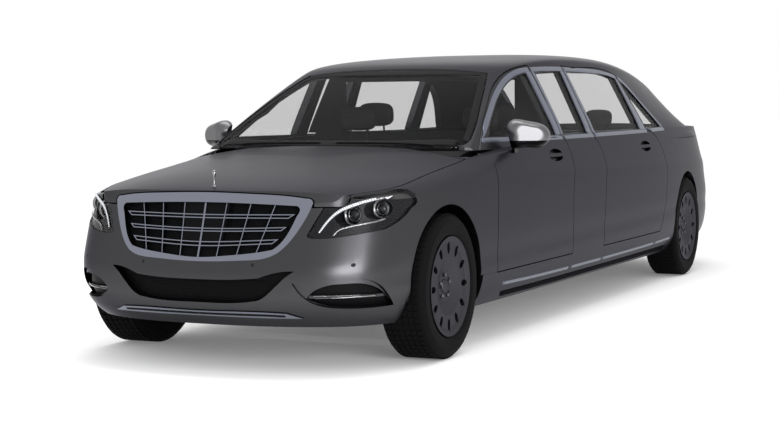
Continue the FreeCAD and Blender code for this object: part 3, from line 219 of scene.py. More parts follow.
# %% Finishes
def finish(name, colour, roughness, metallic=0.0, fine=400.0, cloud=3.0, drift=0.12, uneven=0.05,
           bump=0.05, stretch=(1, 1, 1), pattern="grain", **plain):
    """Principled material with a drifting colour and roughness and a fine bump."""
    material = bpy.data.materials.new(name)
    material.use_nodes = True
    tree = material.node_tree
    shader = tree.nodes["Principled BSDF"]
    vector = tree.nodes.new("ShaderNodeTexCoord").outputs["Object"]
    grain = placed_group(tree, grain_group, vector,
                         {"Fine Scale": fine, "Cloud Scale": cloud, "Stretch": stretch})
    drifting_colour(tree, shader, grain.outputs["Cloud"], colour, drift)
    uneven_roughness(tree, shader, grain.outputs["Cloud"], roughness, uneven)
    height = grain.outputs["Height"]
    if pattern == "hide":
        height = placed_group(tree, hide_group, vector, {"Cell Scale": fine}).outputs["Height"]
    fine_relief(tree, shader, height, bump)
    shader.inputs["Metallic"].default_value = metallic
    for label, value in plain.items():
        shader.inputs[label.replace("_", " ").title().replace("Ior", "IOR")].default_value = value
    return material


def glass_finish(name, colour, see_through, roughness=0.02):
    """Thin tinted glass: a glossy sheet that shows part of what is behind it."""
    material = finish(name, colour, roughness, fine=60.0, cloud=2.0, drift=0.05, uneven=0.01, bump=0.01)
    shader = material.node_tree.nodes["Principled BSDF"]
    shader.inputs["Alpha"].default_value = 1 - see_through
    shader.inputs["Specular IOR Level"].default_value = 0.22
    return material


finishes = {
    "paint": finish("paint", (0.056, 0.0562, 0.060), 0.29, 1.0, fine=1800.0, bump=0.04, drift=0.05,
                    uneven=0.03, coat_weight=0.06, coat_roughness=0.05,
                    specular_tint=(0.47, 0.47, 0.49, 1)),
    "body_structure": finish("body_structure", (0.012, 0.012, 0.014), 0.6, 0.2, fine=300.0, bump=0.15,
                             specular_ior_level=0.2),
    "black_plastic": finish("black_plastic", (0.004, 0.004, 0.0045), 0.5, fine=900.0, bump=0.2,
                            specular_ior_level=0.05),
    "bright_trim": finish("bright_trim", (0.21, 0.22, 0.265), 0.16, 1.0, fine=500.0, bump=0.02,
                          drift=0.04),
    "tinted_glass": glass_finish("tinted_glass", (0.002, 0.0025, 0.004), 0.85),
    "lamp_housing": finish("lamp_housing", (0.006, 0.006, 0.0075), 0.3, 0.3, fine=300.0, bump=0.05,
                           specular_ior_level=0.3),
    "lamp_glass": glass_finish("lamp_glass", (0.004, 0.004, 0.005), 0.93, 0.03),
    "lamp_red": finish("lamp_red", (0.13, 0.004, 0.005), 0.14, fine=220.0, bump=0.25,
                       stretch=(1, 1, 6), coat_weight=0.5, specular_ior_level=0.3),
    "seat_leather": finish("seat_leather", (0.008, 0.0078, 0.009), 0.6, fine=420.0, bump=0.12,
                           specular_ior_level=0.25, pattern="hide"),
    "trim_dark": finish("trim_dark", (0.006, 0.006, 0.0075), 0.65, fine=500.0, bump=0.08,
                        specular_ior_level=0.2, pattern="hide"),
    "cast_metal": finish("cast_metal", (0.12, 0.12, 0.125), 0.5, 0.9, fine=260.0, bump=0.5),
    "axle_steel": finish("axle_steel", (0.07, 0.07, 0.072), 0.5, 0.8, fine=240.0, bump=0.4),
    "pipe_steel": finish("pipe_steel", (0.32, 0.31, 0.3), 0.32, 1.0, fine=300.0, bump=0.1,
                         stretch=(0.05, 1, 1)),
    "wheel_alloy": finish("wheel_alloy", (0.05, 0.0505, 0.055), 0.4, 1.0, fine=900.0, bump=0.05,
                          specular_tint=(0.55, 0.55, 0.57, 1)),
    "tyre": finish("tyre", (0.0035, 0.0035, 0.004), 0.75, fine=500.0, bump=0.3,
                   specular_ior_level=0.05),
}
satin_trim = finish("satin_trim", (0.105, 0.113, 0.15), 0.34, 0.75, fine=600.0, bump=0.02, drift=0.04)
mirror_chrome = finish("mirror_chrome", (0.26, 0.262, 0.27), 0.2, 1.0, fine=500.0, bump=0.01,
                       drift=0.02)
mesh_black = finish("mesh_black", (0.003, 0.003, 0.0035), 0.5, fine=150.0, bump=0.6,
                    stretch=(0.02, 0.02, 1), specular_ior_level=0.05)
# Painted shade: the lower body below the sill strips is body colour in shade, and this darker paint stands
# in for that shade.
rocker_painted_shade = finish("rocker_painted_shade", (0.02, 0.02, 0.0215), 0.45, 1.0, fine=1500.0, bump=0.05,
                      specular_tint=(0.35, 0.35, 0.36, 1))
plate_white = finish("plate_white", (0.55, 0.55, 0.55), 0.5, fine=300.0, bump=0.03)
carpet = finish("carpet", (0.01, 0.0095, 0.009), 0.95, fine=1500.0, bump=0.3, drift=0.25)
lamp_white = finish("lamp_white", (0.8, 0.82, 0.86), 0.3, 0.1, fine=300.0, bump=0.05,
                    emission_color=(0.95, 0.97, 1, 1), emission_strength=0.35)
lens_smoke = finish("lens_smoke", (0.05, 0.052, 0.06), 0.12, 0.4, fine=300.0, bump=0.03)
print("finishes", len(bpy.data.materials))

# %% [markdown]
# ## Finishes on the CAD nodes
# The record names a finish for each node. The grille's backing is a fine mesh on the real car, so
# it has its own black. A mirror's shell is chrome above and black plastic below, which one
# material does with a mask on the height, because the shell is a single piece.

# %% Finishes on the CAD nodes
slots = {part["node"]: part["material_slot"] for part in frame["record"]["subparts"]}


def cover(name, material):
    """Put a finish on every slot of a CAD node."""
    for slot in nodes[name].material_slots:
        slot.material = material


for name in nodes:
    cover(name, finishes[slots[name]])
cover("grille_mesh", mesh_black)


def two_tone(name, upper, lower, level, soft):
    """Chrome above a level and black plastic below it, from a mask on the height."""
    material = finish(name, upper, 0.36, 1.0, fine=500.0, bump=0.01, drift=0.02)
    tree = material.node_tree
    shader = tree.nodes["Principled BSDF"]
    place = tree.nodes.new("ShaderNodeTexCoord")
    split = tree.nodes.new("ShaderNodeSeparateXYZ")
    mask = tree.nodes.new("ShaderNodeMapRange")
    mask.inputs["From Min"].default_value = level - soft
    mask.inputs["From Max"].default_value = level + soft
    tree.links.new(place.outputs["Object"], split.inputs[0])
    tree.links.new(split.outputs["Z"], mask.inputs["Value"])
    tone = tree.nodes.new("ShaderNodeMix")
    tone.data_type = "RGBA"
    tone.inputs["A"].default_value = (*lower, 1)
    bright = shader.inputs["Base Color"].links[0].from_socket
    tree.links.new(bright, tone.inputs["B"])
    tree.links.new(mask.outputs[0], tone.inputs["Factor"])
    tree.links.new(tone.outputs["Result"], shader.inputs["Base Color"])
    return material


mirror_shell = two_tone("mirror_shell", upper=(0.14, 0.14, 0.145), lower=(0.004, 0.004, 0.0045),
                        level=1.040, soft=0.0006)
for side in ("left", "right"):
    cover("mirror_" + side, mirror_shell)
print("nodes painted", len(slots))

# %% [markdown]
# ## Floor and light
# The car stands on a pale floor under a wide soft light, as in a studio. A smaller soft box in
# front of the left corner gives the bright streak on the bumper and lamp. The world is pale to
# the camera and in reflections, and dimmer as a light, so that white stays below clipping.

# %% Floor and light
floor_size, floor_white, floor_glow = 90, 0.94, 0.13
world_light, world_seen = 0.95, 1.0


def ray_mix(tree, low, high):
    """Value that is high for rays from the camera, mirrors and glass, and low for diffuse rays."""
    path = tree.nodes.new("ShaderNodeLightPath")
    first = tree.nodes.new("ShaderNodeMath")
    first.operation = "MAXIMUM"
    second = tree.nodes.new("ShaderNodeMath")
    second.operation = "MAXIMUM"
    tree.links.new(path.outputs["Is Camera Ray"], first.inputs[0])
    tree.links.new(path.outputs["Is Glossy Ray"], first.inputs[1])
    tree.links.new(first.outputs[0], second.inputs[0])
    tree.links.new(path.outputs["Is Transmission Ray"], second.inputs[1])
    level = tree.nodes.new("ShaderNodeMapRange")
    level.inputs["To Min"].default_value = low
    level.inputs["To Max"].default_value = high
    tree.links.new(second.outputs[0], level.inputs["Value"])
    return level.outputs[0]


def make_floor():
    """Pale floor, large enough to reach past the picture."""
    mesh = bpy.data.meshes.new("floor")
    corners = [(-floor_size, -floor_size, 0), (floor_size, -floor_size, 0),
               (floor_size, floor_size, 0), (-floor_size, floor_size, 0)]
    mesh.from_pydata(corners, [], [(0, 1, 2, 3)])
    floor = bpy.data.objects.new("floor", mesh)
    scene.collection.objects.link(floor)
    material = bpy.data.materials.new("floor")
    material.use_nodes = True
    tree = material.node_tree
    shader = tree.nodes["Principled BSDF"]
    shader.inputs["Base Color"].default_value = (floor_white, floor_white, floor_white, 1)
    shader.inputs["Roughness"].default_value = 0.8
    shader.inputs["Specular IOR Level"].default_value = 0.0
    shader.inputs["Emission Color"].default_value = (1, 1, 1, 1)
    tree.links.new(ray_mix(tree, 0.0, floor_glow), shader.inputs["Emission Strength"])
    floor.data.materials.append(material)
    return floor


def soft_box(name, place, target, size, power):
    """Rectangular light that faces a target."""
    data = bpy.data.lights.new(name, "AREA")
    data.shape = "RECTANGLE"
    data.size, data.size_y = size
    data.energy = power
    lamp = bpy.data.objects.new(name, data)
    scene.collection.objects.link(lamp)
    lamp.location = place
    lamp.rotation_euler = (Vector(target) - Vector(place)).to_track_quat("-Z", "Y").to_euler()
    return lamp


def make_world():
    """Pale sky for the camera and reflections, dimmer as a light."""
    world = bpy.data.worlds.new("world")
    scene.world = world
    world.use_nodes = True
    back = world.node_tree.nodes["Background"]
    back.inputs["Color"].default_value = (1.0, 1.0, 1.0, 1)
    glow = ray_mix(world.node_tree, world_light, world_seen)
    world.node_tree.links.new(glow, back.inputs["Strength"])
    return world


make_world()
make_floor()
soft_box("top_light", place=(1, 0, 6.5), target=(0.6, 0, 0), size=(7, 3), power=260)
soft_box("corner_light", place=(8.2, 7.0, 2.0), target=(3, 0.8, 0.6), size=(5.0, 3.2), power=560)

# %% [markdown]
# ## Pieces that follow the skin
# Trim strips, door linings and carpets lie on curved panels. A ray is shot at the panel from each
# point of a flat grid, and the point is lifted off the panel where the ray lands. A second layer
# is sunk slightly into the panel and the edges are rolled down to the skin, so each strip is a
# closed solid with no gap under it. A Shrinkwrap modifier could lay a sheet on a panel too, but
# with rays each point has its own height. The views name the plane that a grid lies in and the
# way that its rays go.

# %% Paths and rays
curve_steps = 24


def skin_tree(*names):
    """Search tree over the surfaces of some CAD nodes."""
    points, faces = [], []
    for name in names:
        mesh = nodes[name].data
        start = len(points)
        points += [vertex.co.copy() for vertex in mesh.vertices]
        faces += [[start + k for k in polygon.vertices] for polygon in mesh.polygons]
    return BVHTree.FromPolygons(points, faces)


def smooth_path(points, count):
    """Even points on a smooth curve through some points of a plane."""
    knots = [Vector(point) for point in points]
    ends = [knots[0] * 2 - knots[1]] + knots + [knots[-1] * 2 - knots[-2]]
    dense = []
    for k in range(1, len(ends) - 2):
        a, b, c, d = ends[k - 1:k + 3]
        for step in range(curve_steps):
            t = step / curve_steps
            dense.append(0.5 * (2 * b + (c - a) * t + (2 * a - 5 * b + 4 * c - d) * t ** 2
                                + (3 * b - a - 3 * c + d) * t ** 3))
    dense.append(knots[-1])
    lengths = [0.0]
    for a, b in zip(dense, dense[1:]):
        lengths.append(lengths[-1] + (b - a).length)
    path = []
    k = 0
    for step in range(count):
        want = lengths[-1] * step / (count - 1)
        while k < len(dense) - 2 and lengths[k + 1] < want:
            k += 1
        span = lengths[k + 1] - lengths[k] or 1.0
        path.append(dense[k].lerp(dense[k + 1], min(1.0, (want - lengths[k]) / span)))
    return path


views = {"left": (Vector((0, 3, 0)), Vector((0, -1, 0)), lambda a, b: Vector((a, 0, b))),
         "inside": (Vector((0, 0, 0)), Vector((0, 1, 0)), lambda a, b: Vector((a, 0, b))),
         "front": (Vector((5, 0, 0)), Vector((-1, 0, 0)), lambda a, b: Vector((0, a, b))),
         "back": (Vector((-5, 0, 0)), Vector((1, 0, 0)), lambda a, b: Vector((0, a, b))),
         "cabin": (Vector((0, 0, 0.9)), Vector((0, 0, -1)), lambda a, b: Vector((a, b, 0))),
         "sky": (Vector((0, 0, 2)), Vector((0, 0, -1)), lambda a, b: Vector((a, b, 0)))}


def landing(tree, view, a, b):
    """Where a ray of a view lands on the skin, with the direction out of it."""
    start, way, spot = views[view]
    place, normal, _, _ = tree.ray_cast(start + spot(a, b), way)
    if place is None:
        return None
    if normal.dot(way) > 0:
        normal = -normal
    return place, normal


print("views", list(views))

# %% Closed strips on the skin
def new_piece(name, points, faces, material, smooth=True):
    """Object with its own mesh, its normals pointing out."""
    mesh = bpy.data.meshes.new(name)
    mesh.from_pydata([tuple(point) for point in points], [], faces)
    work = bmesh.new()
    work.from_mesh(mesh)
    bmesh.ops.remove_doubles(work, verts=work.verts, dist=0.00001)
    bmesh.ops.recalc_face_normals(work, faces=work.faces)
    work.to_mesh(mesh)
    work.free()
    for polygon in mesh.polygons:
        polygon.use_smooth = smooth
    piece = bpy.data.objects.new(name, mesh)
    scene.collection.objects.link(piece)
    mesh.materials.append(material)
    return piece


def other_side_of(piece, name, body):
    """Mirror image of a piece, riding on a body."""
    points = [(v.co.x, -v.co.y, v.co.z) for v in piece.data.vertices]
    faces = [list(reversed(p.vertices)) for p in piece.data.polygons]
    twin = new_piece(name, points, faces, piece.data.materials[0])
    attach(twin, body)
    return twin


def shell_faces(rows, columns):
    """Faces of a grid of points, of its copy below and of the wall between their edges."""
    count = rows * columns
    faces = []
    for i in range(rows - 1):
        for j in range(columns - 1):
            k = i * columns + j
            faces.append([k, k + 1, k + columns + 1, k + columns])
            faces.append([count + k + columns, count + k + columns + 1, count + k + 1, count + k])
    edge = list(range(columns)) + [i * columns + columns - 1 for i in range(1, rows)]
    edge += [count - 1 - j for j in range(1, columns)] + [i * columns for i in range(rows - 2, 0, -1)]
    for k, a in enumerate(edge):
        b = edge[(k + 1) % len(edge)]
        faces.append([b, a, count + a, count + b])
    return faces


def raised(name, grid, tree, view, lift, material, sink=0.0008, inset=0.0):
    """Closed strip on the skin, or inset behind it.

    The grid holds points of the view's plane, each with its share of the lift. Rows that miss the
    skin are dropped, and a point that misses it lands where its nearest neighbour does.
    """
    top, low = [], []
    found = [(row, [landing(tree, view, a, b) for a, b, share in row]) for row in grid]
    found = [(row, landings) for row, landings in found if any(landings)]
    for row, landings in found:
        good = [k for k, hit in enumerate(landings) if hit]
        for k, (a, b, share) in enumerate(row):
            place, normal = landings[min(good, key=lambda g: abs(g - k))]
            place = place - normal * inset
            top.append(place + normal * (lift * share))
            low.append(place - normal * sink)
    return new_piece(name, top + low, shell_faces(len(found), len(grid[0])), material)


profile_shares = ((-1.0, 0.0), (-0.82, 0.8), (-0.4, 1.0), (0.4, 1.0), (0.82, 0.8), (1.0, 0.0))


def strip_grid(points, half_width, count):
    """Grid of a strip along a path, with rolled edges."""
    path = smooth_path(points, count)
    grid = []
    for k, point in enumerate(path):
        ahead = (path[min(k + 1, count - 1)] - path[max(k - 1, 0)]).normalized()
        across = Vector((-ahead.y, ahead.x))
        end = 0.0 if k in (0, count - 1) else 1.0
        row = []
        for out, share in profile_shares:
            spot = point + across * (half_width * out)
            row.append((spot.x, spot.y, share * end))
        grid.append(row)
    return grid


def patch_grid(first, last, columns, rows):
    """Grid between two curves, flat in the middle and rolled down at its edges."""
    near, far = smooth_path(first, rows), smooth_path(last, rows)
    grid = []
    for i in range(rows):
        row = []
        for j in range(columns):
            spot = near[i].lerp(far[i], j / (columns - 1))
            inside = 0 < i < rows - 1 and 0 < j < columns - 1
            row.append((spot.x, spot.y, 1.0 if inside else 0.0))
        grid.append(row)
    return grid


def pair(piece, body_left, body_right):
    """Let a left piece ride, and add its twin on the right."""
    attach(piece, body_left)
    return other_side_of(piece, piece.name.replace("left", "right"), body_right)


print("profile points", len(profile_shares))

# %% [markdown]
# ## Window surround and sill strips
# Satin strips frame the side windows along the belt and over the tops, and broad covers hide the
# posts between the panes. They are cut at the shut lines, so that each swings with its door. A
# satin strip runs along the sill below the doors, and below it a sheet darker than the body paint
# is painted shade on the lower body, which is body colour; both stay on the body. All of
# them are strips and patches on the skin, because they have to follow its slight curve.

# %% Window surround
door_skins = {name: skin_tree(name + "_left") for name in ("front_door", "rear_door")}
frame_skin = skin_tree("side_frames")
door_bodies = {"front_door": ("front_door_left_body", "front_door_right_body"),
               "rear_door": ("rear_door_left_body", "rear_door_right_body"),
               "middle": ("body", "body"), "quarter": ("body", "body")}
skins = {**door_skins, "middle": frame_skin, "quarter": frame_skin}
belt_runs = {"front_door": ((1.738, 1.046), (1.2, 1.044), (0.614, 1.043)),
             "middle": ((0.598, 1.044), (0.3, 1.045), (0.032, 1.046)),
             "rear_door": ((0.016, 1.047), (-0.55, 1.051), (-1.146, 1.056)),
             "quarter": ((-1.158, 1.056), (-1.4, 1.061), (-1.6, 1.064))}
top_runs = {"front_door": ((1.70, 1.04), (1.58, 1.085), (1.40, 1.182), (1.23, 1.273), (1.05, 1.353),
                           (0.90, 1.403), (0.78, 1.427), (0.658, 1.437)),
            "middle": ((0.65, 1.437), (0.4, 1.446), (0.118, 1.450)),
            "rear_door": ((0.106, 1.450), (-0.2, 1.450), (-0.6, 1.444), (-0.93, 1.422), (-0.978, 1.414)),
            "quarter": ((-0.992, 1.41), (-1.05, 1.402), (-1.18, 1.347), (-1.34, 1.246), (-1.50, 1.136),
                        (-1.60, 1.068))}
post_covers = {
    "front_door": (((0.722, 1.425), (0.712, 1.25), (0.696, 1.055)),
                   ((0.655, 1.432), (0.632, 1.25), (0.611, 1.055))),
    "middle_front": (((0.646, 1.432), (0.622, 1.25), (0.600, 1.055)),
                     ((0.606, 1.432), (0.588, 1.25), (0.570, 1.055))),
    "middle_rear": (((0.174, 1.440), (0.158, 1.25), (0.132, 1.055)),
                    ((0.112, 1.440), (0.078, 1.25), (0.033, 1.055))),
    "rear_door_front": (((0.100, 1.440), (0.066, 1.25), (0.018, 1.055)),
                        ((0.066, 1.440), (0.022, 1.25), (-0.026, 1.055))),
    "rear_door_rear": (((-0.938, 1.412), (-0.976, 1.25), (-1.006, 1.06)),
                       ((-0.982, 1.41), (-1.068, 1.25), (-1.146, 1.06)))}
belt_half, window_half, strip_lift, post_lift = 0.012, 0.013, 0.0028, 0.0024


def window_surround():
    """Belt strips, top strips and post covers on both sides."""
    made = []
    for runs, kind, half in ((belt_runs, "belt_strip", belt_half),
                             (top_runs, "window_strip", window_half)):
        for place, run in runs.items():
            grid = strip_grid(run, half, 40)
            piece = raised(kind + "_" + place + "_left", grid, skins[place], "left", strip_lift, satin_trim)
            made += [piece, pair(piece, *door_bodies[place])]
    for place, (first, last) in post_covers.items():
        owner = place if place in skins else "_".join(place.split("_")[:-1])
        grid = patch_grid(first, last, 9, 24)
        piece = raised("post_cover_" + place + "_left", grid, skins[owner], "left", post_lift, satin_trim)
        made += [piece, pair(piece, *door_bodies[owner])]
    return made


surround = window_surround()
print("window surround", len(surround), "pieces")

# %% Sill strips
sill_runs = {"front_door": ((1.70, 0.300), (1.2, 0.292), (0.64, 0.288)),
             "middle": ((0.59, 0.288), (0.3, 0.288), (0.03, 0.288)),
             "rear_door": ((0.0, 0.288), (-0.6, 0.290), (-1.14, 0.294)),
             "quarter": ((-1.17, 0.294), (-1.4, 0.298), (-1.55, 0.30))}
sill_half, sill_lift = 0.009, 0.004
# Edges of the sheet of painted shade below the sill strips.
rocker_edges = (((1.70, 0.258), (1.0, 0.254), (0.2, 0.253), (-0.7, 0.255), (-1.5, 0.260)),
                ((1.66, 0.224), (1.0, 0.218), (0.2, 0.217), (-0.7, 0.219), (-1.46, 0.226)))
rocker_lift = 0.0025


def sill_strips():
    """Bright strips along the sills, in the runs between the door gaps."""
    made = []
    for place, run in sill_runs.items():
        grid = strip_grid(run, sill_half, 40)
        piece = raised("sill_strip_" + place + "_left", grid, frame_skin, "left", sill_lift, satin_trim)
        made += [piece, pair(piece, "body", "body")]
    return made


def rocker_shade_sheets():
    """Sheets of painted shade below the sill strips: the lower body is body colour, painted darker here."""
    grid = patch_grid(*rocker_edges, 8, 90)
    shade_sheet_left = raised("rocker_cover_left", grid, frame_skin, "left", rocker_lift, rocker_painted_shade)
    made = [shade_sheet_left, pair(shade_sheet_left, "body", "body")]
    return made


print("sill strips", len(sill_strips()), "rocker shade sheets", len(rocker_shade_sheets()))

# %% [markdown]
# ## Repeats round an axle
# Tread blocks and wheel bolts repeat by equal turns about an axle. One Geometry Nodes tree does
# it: points on a mesh line carry instances, and each instance turns by its index. An Array
# modifier could do it with an empty as its offset, but the tree has its count and its turn as
# named inputs. The result is realized and turned into a plain mesh, because the export drops
# instances.

# %% Repeats round an axle
def make_repeat_tree():
    """Geometry Nodes tree that repeats a piece by equal turns about Y and steps along a line."""
    tree = bpy.data.node_groups.new("repeat_round_axle", "GeometryNodeTree")
    face = tree.interface
    face.new_socket("Geometry", in_out="INPUT", socket_type="NodeSocketGeometry")
    for label, kind in (("Count", "NodeSocketInt"), ("Turn", "NodeSocketFloat"),
                        ("Step", "NodeSocketVector"), ("Material", "NodeSocketMaterial")):
        face.new_socket(label, in_out="INPUT", socket_type=kind)
    face.new_socket("Geometry", in_out="OUTPUT", socket_type="NodeSocketGeometry")
    start, end = tree.nodes.new("NodeGroupInput"), tree.nodes.new("NodeGroupOutput")
    line = tree.nodes.new("GeometryNodeMeshLine")
    place = tree.nodes.new("GeometryNodeInstanceOnPoints")
    index = tree.nodes.new("GeometryNodeInputIndex")
    turn = tree.nodes.new("ShaderNodeMath")
    turn.operation = "MULTIPLY"
    angles = tree.nodes.new("ShaderNodeCombineXYZ")
    solid = tree.nodes.new("GeometryNodeRealizeInstances")
    dress = tree.nodes.new("GeometryNodeSetMaterial")
    link = tree.links.new
    link(start.outputs["Count"], line.inputs["Count"])
    link(start.outputs["Step"], line.inputs["Offset"])
    link(line.outputs["Mesh"], place.inputs["Points"])
    link(start.outputs["Geometry"], place.inputs["Instance"])
    link(index.outputs[0], turn.inputs[0])
    link(start.outputs["Turn"], turn.inputs[1])
    link(turn.outputs[0], angles.inputs["Y"])
    link(angles.outputs[0], place.inputs["Rotation"])
    link(place.outputs[0], solid.inputs[0])
    link(solid.outputs[0], dress.inputs["Geometry"])
    link(start.outputs["Material"], dress.inputs["Material"])
    link(dress.outputs[0], end.inputs[0])
    return tree


repeat_tree = make_repeat_tree()


def repeated(piece, count, turn, step, material):
    """Mesh of a piece repeated by the tree; the piece itself is removed."""
    change = piece.modifiers.new("repeat", "NODES")
    change.node_group = repeat_tree
    inputs = [item for item in repeat_tree.interface.items_tree if item.in_out == "INPUT"]
    sockets = {item.name: item.identifier for item in inputs}
    change[sockets["Count"]] = count
    change[sockets["Turn"]] = turn
    change[sockets["Step"]] = step
    change[sockets["Material"]] = material
    bpy.context.view_layer.update()
    mesh = bpy.data.meshes.new_from_object(piece.evaluated_get(bpy.context.evaluated_depsgraph_get()))
    bpy.data.objects.remove(piece)
    return mesh


def band(a, b, count):
    """Faces between two closed rings of points that start at a and at b."""
    return [[a + j, a + (j + 1) % count, b + (j + 1) % count, b + j] for j in range(count)]


def turned(name, loop, count, material):
    """Closed solid turned about the Y axis from a closed loop of (y, radius) points."""
    points, faces = [], []
    size = len(loop)
    for k in range(count):
        angle = 2 * math.pi * k / count
        points += [(r * math.sin(angle), y, r * math.cos(angle)) for y, r in loop]
        faces += band(k * size, (k + 1) % count * size, size)
    return new_piece(name, points, faces, material)


def joined(name, meshes, place=(0, 0, 0)):
    """One object from several meshes, moved to a place, with each of their materials once."""
    work = bmesh.new()
    materials = []
    for mesh in meshes:
        start = len(work.faces)
        work.from_mesh(mesh)
        work.faces.ensure_lookup_table()
        if mesh.materials[0] not in materials:
            materials.append(mesh.materials[0])
        for face in work.faces[start:]:
            face.material_index = materials.index(mesh.materials[0])
    bmesh.ops.translate(work, verts=work.verts, vec=Vector(place))
    mesh = bpy.data.meshes.new(name)
    work.to_mesh(mesh)
    work.free()
    for material in materials:
        mesh.materials.append(material)
    piece = bpy.data.objects.new(name, mesh)
    scene.collection.objects.link(piece)
    return piece


def merged(name, pieces):
    """One object from several pieces, which are removed."""
    whole = joined(name, [piece.data for piece in pieces])
    for piece in pieces:
        bpy.data.objects.remove(piece)
    return whole


print("repeat inputs", [item.name for item in repeat_tree.interface.items_tree])

# %% [markdown]
# ## Tyres
# The CAD tyre is a plain ring, because hundreds of tread blocks are light in a mesh but heavy in
# CAD. Here the carcass is turned from a profile with rounded shoulders, beads and raised sidewall
# rings. One row of tread blocks is repeated round the axle and joined with the carcass. The same
# pattern then goes to each of the four wheels.

# %% Tyres
tyre_half_loop = ((0.0, 0.3495), (0.03, 0.3493), (0.06, 0.3488), (0.088, 0.3475), (0.1, 0.345),
                  (0.109, 0.339), (0.1145, 0.33), (0.1175, 0.318), (0.1188, 0.317), (0.1196, 0.313),
                  (0.1192, 0.309), (0.1198, 0.3), (0.1195, 0.284), (0.1182, 0.276), (0.1188, 0.272),
                  (0.1176, 0.268), (0.115, 0.26), (0.11, 0.252), (0.106, 0.2445))
tread_rows = ((-0.094, -0.066), (-0.060, -0.036), (-0.030, -0.003), (0.003, 0.030), (0.036, 0.060),
              (0.066, 0.094))
tread_steps = ((0.0, 0.3475), (0.0, 0.3522), (0.0012, 0.3535))
tread_radius, block_count, block_fill, block_slant = 0.35, 64, 0.84, 0.006


def tread_block(low, high, slant):
    """Rings of one tread block between two widths, its ends slanted and its top edge bevelled."""
    half = math.pi * tread_radius / block_count * block_fill
    corners = []
    for inset, radius in tread_steps:
        ring = ((low + inset, -half + inset), (high - inset, -half + slant + inset),
                (high - inset, half + slant - inset), (low + inset, half - inset))
        corners.append([(x, y, math.sqrt(radius ** 2 - x ** 2)) for y, x in ring])
    return corners


def tread_pitch(name):
    """One row of blocks across the tread, the slants of its two halves opposed."""
    points, faces = [], []
    for low, high in tread_rows:
        rings = tread_block(low, high, block_slant if high < 0 else -block_slant)
        start = len(points)
        for ring in rings:
            points += ring
        for level in range(2):
            faces += band(start + level * 4, start + level * 4 + 4, 4)
        faces += [[start + j for j in (3, 2, 1, 0)], [start + 8 + j for j in range(4)]]
    return new_piece(name, points, faces, finishes["tyre"], smooth=False)


def make_tyre_mesh():
    """Carcass and tread blocks about the origin."""
    rubber = finishes["tyre"]
    loop = [(-y, r) for y, r in reversed(tyre_half_loop)] + list(tyre_half_loop[1:])
    carcass = turned("carcass", loop, 96, rubber)
    blocks = repeated(tread_pitch("pitch"), block_count, 2 * math.pi / block_count, (0, 0, 0), rubber)
    both = joined("tyre_pattern", [carcass.data, blocks])
    bpy.data.objects.remove(carcass)
    mesh = both.data
    bpy.data.objects.remove(both)
    return mesh


front_axle_x, rear_axle_x, wheel_y, axle_height = 2.4045, -2.0135, 0.8115, 0.354
wheels = {"front_left": (front_axle_x, wheel_y), "front_right": (front_axle_x, -wheel_y),
          "rear_left": (rear_axle_x, wheel_y), "rear_right": (rear_axle_x, -wheel_y)}


def centre_of(name):
    """Middle of a node's box."""
    low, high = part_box(name)
    return (Vector(low) + Vector(high)) / 2


def make_tyres():
    """A detailed tyre for each wheel in place of the plain ring."""
    pattern = make_tyre_mesh()
    for corner in wheels:
        piece = joined("tread_tyre_" + corner, [pattern], centre_of("tyre_" + corner))
        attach(piece, "wheel_" + corner)
        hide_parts("tyre_" + corner)
    return len(pattern.polygons)


print("faces in a tyre", make_tyres())

# %% [markdown]
# ## Wheel hardware
# Each rim gets a domed centre cap and five bolts with hexagon heads. The cap is turned from a
# profile, and the bolts are one bolt repeated round the axle. A ray from outside finds the rim's
# face, so that the hardware stands on it.

# %% Wheel hardware
bolt_count, bolt_ring, bolt_radius, bolt_tall = 5, 0.056, 0.0105, 0.012
bolt_levels = ((0.0, 1.0), (0.75, 1.0), (1.0, 0.82))
cap_loop = ((0.0, 0.0), (0.0, 0.036), (0.006, 0.036), (0.010, 0.032), (0.012, 0.022), (0.0135, 0.0))
hardware_sink = 0.004


def bolt_head(name, tall):
    """Hexagon head at the top of the bolt ring, its outer face bevelled, along Y."""
    points = []
    for height, share in bolt_levels:
        reach = bolt_radius * share
        points += [(reach * math.cos(math.pi / 3 * k), tall * height,
                    bolt_ring + reach * math.sin(math.pi / 3 * k)) for k in range(6)]
    faces = band(0, 6, 6) + band(6, 12, 6)
    faces += [[5, 4, 3, 2, 1, 0], [12, 13, 14, 15, 16, 17]]
    return new_piece(name, points, faces, finishes["axle_steel"], smooth=False)


def rim_face(corner, side):
    """Y of the rim's outer face at the bolts, by a ray from outside."""
    x, _ = wheels[corner]
    start = Vector((x, side * 1.5, axle_height + bolt_ring))
    return skin_tree("rim_" + corner).ray_cast(start, Vector((0, -side, 0)))[0].y


def make_hardware():
    """Centre cap and bolts on each wheel."""
    turn = 2 * math.pi / bolt_count
    for corner, (x, y) in wheels.items():
        side = 1 if y > 0 else -1
        cap = turned("cap", [(side * a, r) for a, r in cap_loop], 48, finishes["wheel_alloy"])
        bolt = bolt_head("bolt", side * bolt_tall)
        bolts = repeated(bolt, bolt_count, turn, (0, 0, 0), finishes["axle_steel"])
        foot = (x, rim_face(corner, side) - side * hardware_sink, axle_height)
        piece = joined("wheel_cap_" + corner, [cap.data, bolts], foot)
        bpy.data.objects.remove(cap)
        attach(piece, "wheel_" + corner)


make_hardware()
print("wheel hardware on", len(wheels), "wheels")

# %% [markdown]
# ## Lamp internals
# Inside the lens a smoked light guide with a row of small white blocks follows the brow of the
# lamp, a thin bright line runs below it, and two round bowls hold a lens each. The guide, the
# blocks and the line are strips that keep an even gap behind the lens, and the bowls are turned
# about their own axes.

